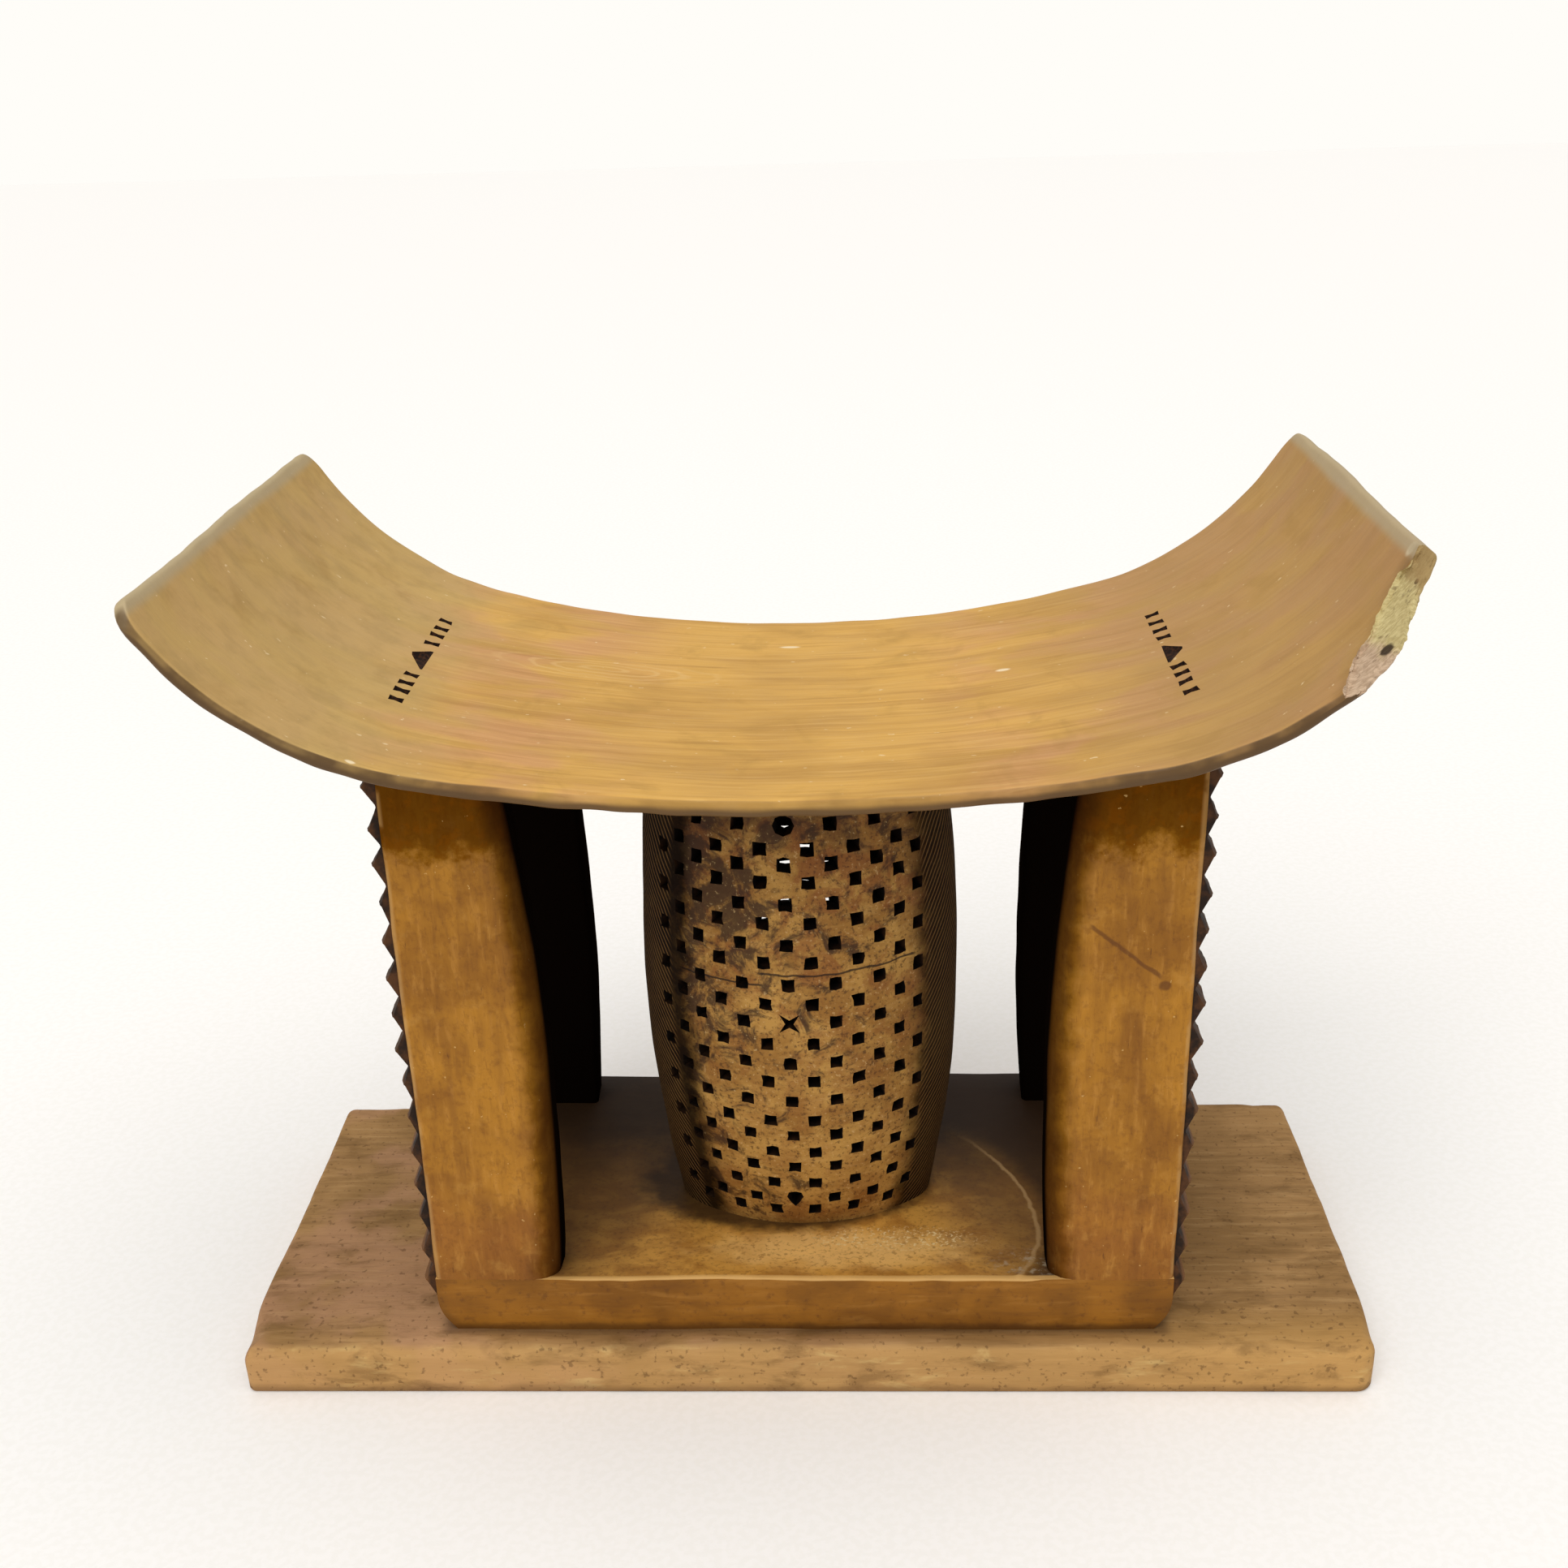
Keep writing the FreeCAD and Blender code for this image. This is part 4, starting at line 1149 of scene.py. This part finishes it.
def paint_plinth_floor(wood):
    """The hollow floor, with painted light and shade: golden in front of the column, brown beside it and
    nearly black behind.
    """
    mottle = wood.spots(11, 0.38, 0.62, 4, 0.6, 0.5, (1.6, 1, 1))
    wood.tint(mottle, (206, 150, 66), (172, 118, 48))
    # Painted light: a pale pool on the floor in front of the column.
    pale = wood.step(wood.reach((14, -50), (58, 16)) + wood.noise(9) * 0.8, 1.6, 0.8)
    wood.stain(pale * 0.75, 244, 196, 118)
    grit = wood.spots(1.9, 0.5, 0.66, 4, 0.65, 0.2)
    wood.stain(grit * 0.5, 124, 80, 34)
    # Painted shade, darker towards the sides and the back.
    across = abs(wood.x) + wood.y * 0.55 + wood.noise(22, 4) * 44
    wood.stain(wood.step(across, 44, 94, 0, 0.72), 94, 64, 36)
    # Painted shade: nearly black behind the column.
    behind = wood.step(wood.y + wood.noise(16) * 24, -8, 58)
    wood.stain(behind * 0.9, 26, 16, 9)
    # Painted shade outside the scraped oval, at the right.
    corner = wood.step(wood.reach(SCRAPED_CENTRE, SCRAPED_RADII) + wood.noise(10) * 0.1, 1.02, 1.16)
    wood.stain(corner * wood.step(wood.x, 0, 40, 0.3, 0.85), 52, 34, 20)
    # Painted shadow round the column's foot.
    column_foot_shadow = wood.reach((0, 0), (52.5, 32.5)) + wood.noise(8) * 0.3 + wood.x * 0.003
    wood.stain(wood.step(column_foot_shadow, 1.36, 1.1, 0, 0.88), 44, 27, 13)
    # Painted highlight along the scraped ridge at the right.
    wobble = wood.noise(9) * 0.04
    ridge = abs(wood.reach(SCRAPED_CENTRE, SCRAPED_RADII) + wobble - 1.02)
    ridge = wood.step(ridge, 0.014, 0.003) * wood.step(wood.x, 54, 74) * wood.step(wood.y, 34, 4)
    wood.stain(ridge * 0.55, 196, 158, 106)
    crumbs = wood.spots(1.3, 0.56, 0.64, 2)
    zone = wood.step(wood.reach((36, -42), (34, 9)), 1.2, 0.6)
    wood.stain(crumbs * zone * 0.85, 236, 208, 150)
    dust = wood.spots(4, 0.5, 0.66, 4, 0.7)
    web = wood.step(wood.reach((88, -60), (20, 14)), 1.1, 0.3)
    wood.stain(dust * web * 0.7, 186, 168, 140)


def edge_material():
    wood = Material("stained_edge")
    tone = wood.spots(9, 0.4, 0.65, 4, 0.6)
    wood.tint(tone, (34, 20, 10), (82, 50, 24))
    # Painted highlight on the teeth's tips, stronger lower down.
    out = wood.step(abs(wood.x), HALF_PLINTH + 2.6, HALF_PLINTH + 4.4)
    wood.stain(out * wood.step(wood.z, 170, 90, 0.15, 0.6), 140, 94, 52)
    wood.bump(wood.noise(1.4), 0.2)
    return wood.finish(0.7)


def column_material():
    """Blotched with old stain; its dark top and its sides, which are hatched, are partly stain and partly
    painted shade.
    """
    wood = Material("column_wood")
    tone = wood.spots(22, 0.38, 0.62, 4, 0.6, 0.3)
    wood.tint(tone, (186, 140, 68), (150, 104, 42))
    add_grain(wood, (112, 70, 28), (208, 168, 100), 0.5, (16, 4, 2), 0.08)
    red = wood.noise(12, 5, 0.65, 0.6)
    upwards = wood.step(wood.z, 90, 200, 0.35, 1)
    wood.stain(wood.step(red, 0.46, 0.6, 0, 0.7) * upwards, 128, 70, 26)
    stain = wood.noise(15, 5, 0.7, 0.8) - wood.x * 0.0016 + wood.z * 0.0006
    wood.stain(wood.step(stain, 0.58, 0.72, 0, 0.85), 50, 28, 12)
    # Dark top under the seat: partly old stain, partly painted shade.
    top = wood.step(wood.z + wood.noise(14, 4) * 50, 232, 266)
    wood.stain(top * 0.85, 48, 28, 14)
    specks = wood.noise(1.7, 3, 0.7)
    wood.stain(wood.step(specks, 0.54, 0.64, 0, 0.65), 72, 40, 16)
    wood.stain(wood.step(specks, 0.4, 0.3, 0, 0.45), 220, 184, 124)
    height = wood.z - COLUMN_BELLY
    out = abs(wood.x) + height * height / (2 * COLUMN_BULGE_RADIUS)
    # Near-black sides: partly old stain, partly painted shade.
    side = wood.step(out - wood.x * 0.06 + wood.noise(9) * 8, 42, 52)
    wood.stain(side * 0.94, 20, 11, 6)
    hatching = side_hatching(wood) * wood.step(out, 47, 50)
    wood.stain(hatching * 0.7, 146, 108, 64)
    cracks = hairline_cracks(wood)
    wood.stain(cracks, 30, 16, 8)
    wood.bump(wood.noise(4, 2), 0.3)
    wood.bump(hatching, 0.8)
    wood.bump(cracks * -1, 0.5)
    wood.gloss(wood.step(side, 0, 1, 0.3, 0.04))
    return wood.finish(0.72)


def side_hatching(wood):
    """Fine slanted grooves round each side of the column, which rise outwards."""
    outward = abs(wood.x) * 0.5 - abs(wood.y)
    slant = wood.z - outward * 1.3 + wood.noise(14, 2) * 2.5
    wave = (slant * (2 * pi / HATCH_STEP)).math("SINE")
    return wood.step(wave, 0.25, 0.95)


def hairline_cracks(wood):
    """A drying crack across the front, in two lengths that don't quite meet."""
    wander = wood.noise(12) * 3
    right, left = (
        wood.line(wood.x, wood.z + wander - height, start, end, 0.5) for height, start, end in CRACKS
    )
    return left.math("MAXIMUM", right) * wood.step(wood.y, 0, -6) * 0.85


def hollow_material():
    wood = Material("column_hollow")
    # Painted shade: the column's inside and the linings of its holes are painted nearly black.
    wood.tint(wood.spots(5, 0.4, 0.7), (16, 9, 6), (46, 27, 13))
    wood.bump(wood.noise(2), 0.3)
    wood.gloss(0.1)
    return wood.finish(0.9)


def base_material():
    """Unpolished and dusty, pinkish at the left and golden at the right, with painted shade by the plinth.
    """
    wood = Material("base_wood")
    tone = wood.spots(50, 0.35, 0.65, 4, 0.55, 0.3)
    wood.tint(tone, (172, 132, 82), (146, 110, 64))
    add_grain(wood, (108, 76, 40), (198, 160, 108), 0.8, (26, 2, 2), 0.12)
    pink = wood.spots(34, 0.42, 0.6) * wood.step(wood.x, 80, -100)
    wood.stain(pink * 0.45, 192, 144, 112)
    gold = wood.step(wood.x, 60, 200) * wood.step(wood.y, -52, -76)
    wood.stain(gold * 0.5, 196, 150, 82)
    front = wood.step(wood.facing_y, -0.4, -0.85)
    wood.stain(front * 0.55, 204, 158, 94)
    dirt = wood.spots(12, 0.5, 0.68, 5, 0.65, 0.4, (2.5, 1, 1))
    wood.stain(dirt * 0.5, 112, 80, 40)
    pale = wood.spots(9, 0.54, 0.68, 4, 0.6, 0.3, (3, 1, 1))
    wood.stain(pale * 0.5 * front, 216, 184, 120)
    specks = wood.spots(2.2, 0.6, 0.72, 2, 0.5)
    wood.stain(specks * 0.5, 88, 58, 30)
    foot = wood.step(wood.z + wood.noise(24) * 6, 8, 4) * wood.step(wood.facing_z, 0.5, 0.1)
    wood.stain(foot * 0.5, 96, 64, 34)
    # Painted shade on the base's top where it meets the plinth.
    near_y = wood.step(abs(wood.y), PLINTH_FACE + 5, PLINTH_FACE + 0.5)
    near_x = wood.step(abs(wood.x), HALF_PLINTH + 2, HALF_PLINTH - 4)
    wood.stain(near_y * near_x * 0.6, 70, 44, 22)
    wood.bump(wood.noise(1.1, 3, 0.6, 0, (14, 1, 1)), 0.2)
    wood.bump(wood.noise(8, 2), 0.3)
    return wood.finish(0.7)


# The pieces in their places


def stand_in(piece, node, slot, *materials):
    """Puts a piece in the place of a CAD node."""
    for material in materials:
        piece.data.materials.append(material)
    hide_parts(node)
    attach(piece, "root")


stand_in(base_slab(), "base_slab", "base_wood", base_material())
stand_in(plinth(), "plinth", "post_wood", plinth_material())
stand_in(column(), "column", "column_wood", column_material(), hollow_material())
stand_in(seat(), "seat", "seat_wood")
post_wood = post_material()
edge_wood = edge_material()
for depth_name, side_y in (("front", FRONT), ("back", BACK)):
    for side_name, side_x in (("left", LEFT), ("right", RIGHT)):
        corner = depth_name + "_" + side_name
        stand_in(post("post_wood_" + corner, side_x, side_y), "post_" + corner, "post_wood", post_wood)
        teeth = serrated_edge("teeth_" + corner, side_x, side_y)
        stand_in(teeth, "serrated_edge_" + corner, "stained_edge", edge_wood)


# Floor, light and camera


def stage_floor():
    mesh = bpy.data.meshes.new("floor")
    half = 6.0
    corners = [(-half, -half, 0), (half, -half, 0), (half, half, 0), (-half, half, 0)]
    mesh.from_pydata(corners, [], [(0, 1, 2, 3)])
    floor = bpy.data.objects.new("floor", mesh)
    bpy.context.scene.collection.objects.link(floor)
    paint = Material("floor_paint")
    paint.tint(paint.spots(3, 0.4, 0.6, 2), (254, 252, 249), (251, 249, 245))
    floor.data.materials.append(paint.finish(0.6))


def soft_light(name, towards, strength, width):
    """An even light from far away, as wide as a window: it whitens the whole floor alike."""
    lamp = bpy.data.lights.new(name, "SUN")
    lamp.angle = radians(width)
    lamp.energy = strength
    light = bpy.data.objects.new(name, lamp)
    light.rotation_euler = Vector(towards).to_track_quat("-Z", "Y").to_euler()
    bpy.context.scene.collection.objects.link(light)


def pale_surroundings():
    world = bpy.data.worlds.new("surroundings")
    bpy.context.scene.world = world
    world.use_nodes = True
    tree = world.node_tree
    tree.nodes.clear()
    seen = add_node(tree, "ShaderNodeBackground", {"Color": srgb(255, 253, 248)})
    lit = add_node(tree, "ShaderNodeBackground", {"Color": (1.0, 0.97, 0.93, 1), "Strength": 0.42})
    is_seen = add_node(tree, "ShaderNodeLightPath").outputs["Is Camera Ray"]
    choice = add_node(tree, "ShaderNodeMixShader", {0: is_seen, 1: lit.outputs[0], 2: seen.outputs[0]})
    add_node(tree, "ShaderNodeOutputWorld", {"Surface": choice.outputs[0]})


def photo_camera():
    sin_yaw, cos_yaw = sin(CAMERA_YAW), cos(CAMERA_YAW)
    flat = cos(CAMERA_PITCH)
    forward = Vector((sin_yaw * flat, cos_yaw * flat, -sin(CAMERA_PITCH)))
    level = Vector((cos_yaw, -sin_yaw, 0))
    down = forward.cross(level)
    right = level * cos(CAMERA_ROLL) + down * sin(CAMERA_ROLL)
    below = down * cos(CAMERA_ROLL) - level * sin(CAMERA_ROLL)
    lens = bpy.data.cameras.new("camera")
    lens.sensor_width = SENSOR_WIDTH
    lens.lens = FOCAL_PIXELS * SENSOR_WIDTH / FRAME_PIXELS
    lens.clip_start = 0.01
    camera = bpy.data.objects.new("camera", lens)
    turn = Matrix((right, -below, -forward)).transposed()
    camera.matrix_world = Matrix.Translation(CAMERA_PLACE * MM) @ turn.to_4x4()
    bpy.context.scene.collection.objects.link(camera)
    bpy.context.scene.camera = camera


stage_floor()
pale_surroundings()
soft_light("window", (0.35, 0.8, -0.95), 1.1, 45)
soft_light("ceiling", (-0.1, 0.1, -1), 1.3, 70)
photo_camera()
bpy.context.scene.view_settings.view_transform = "Standard"
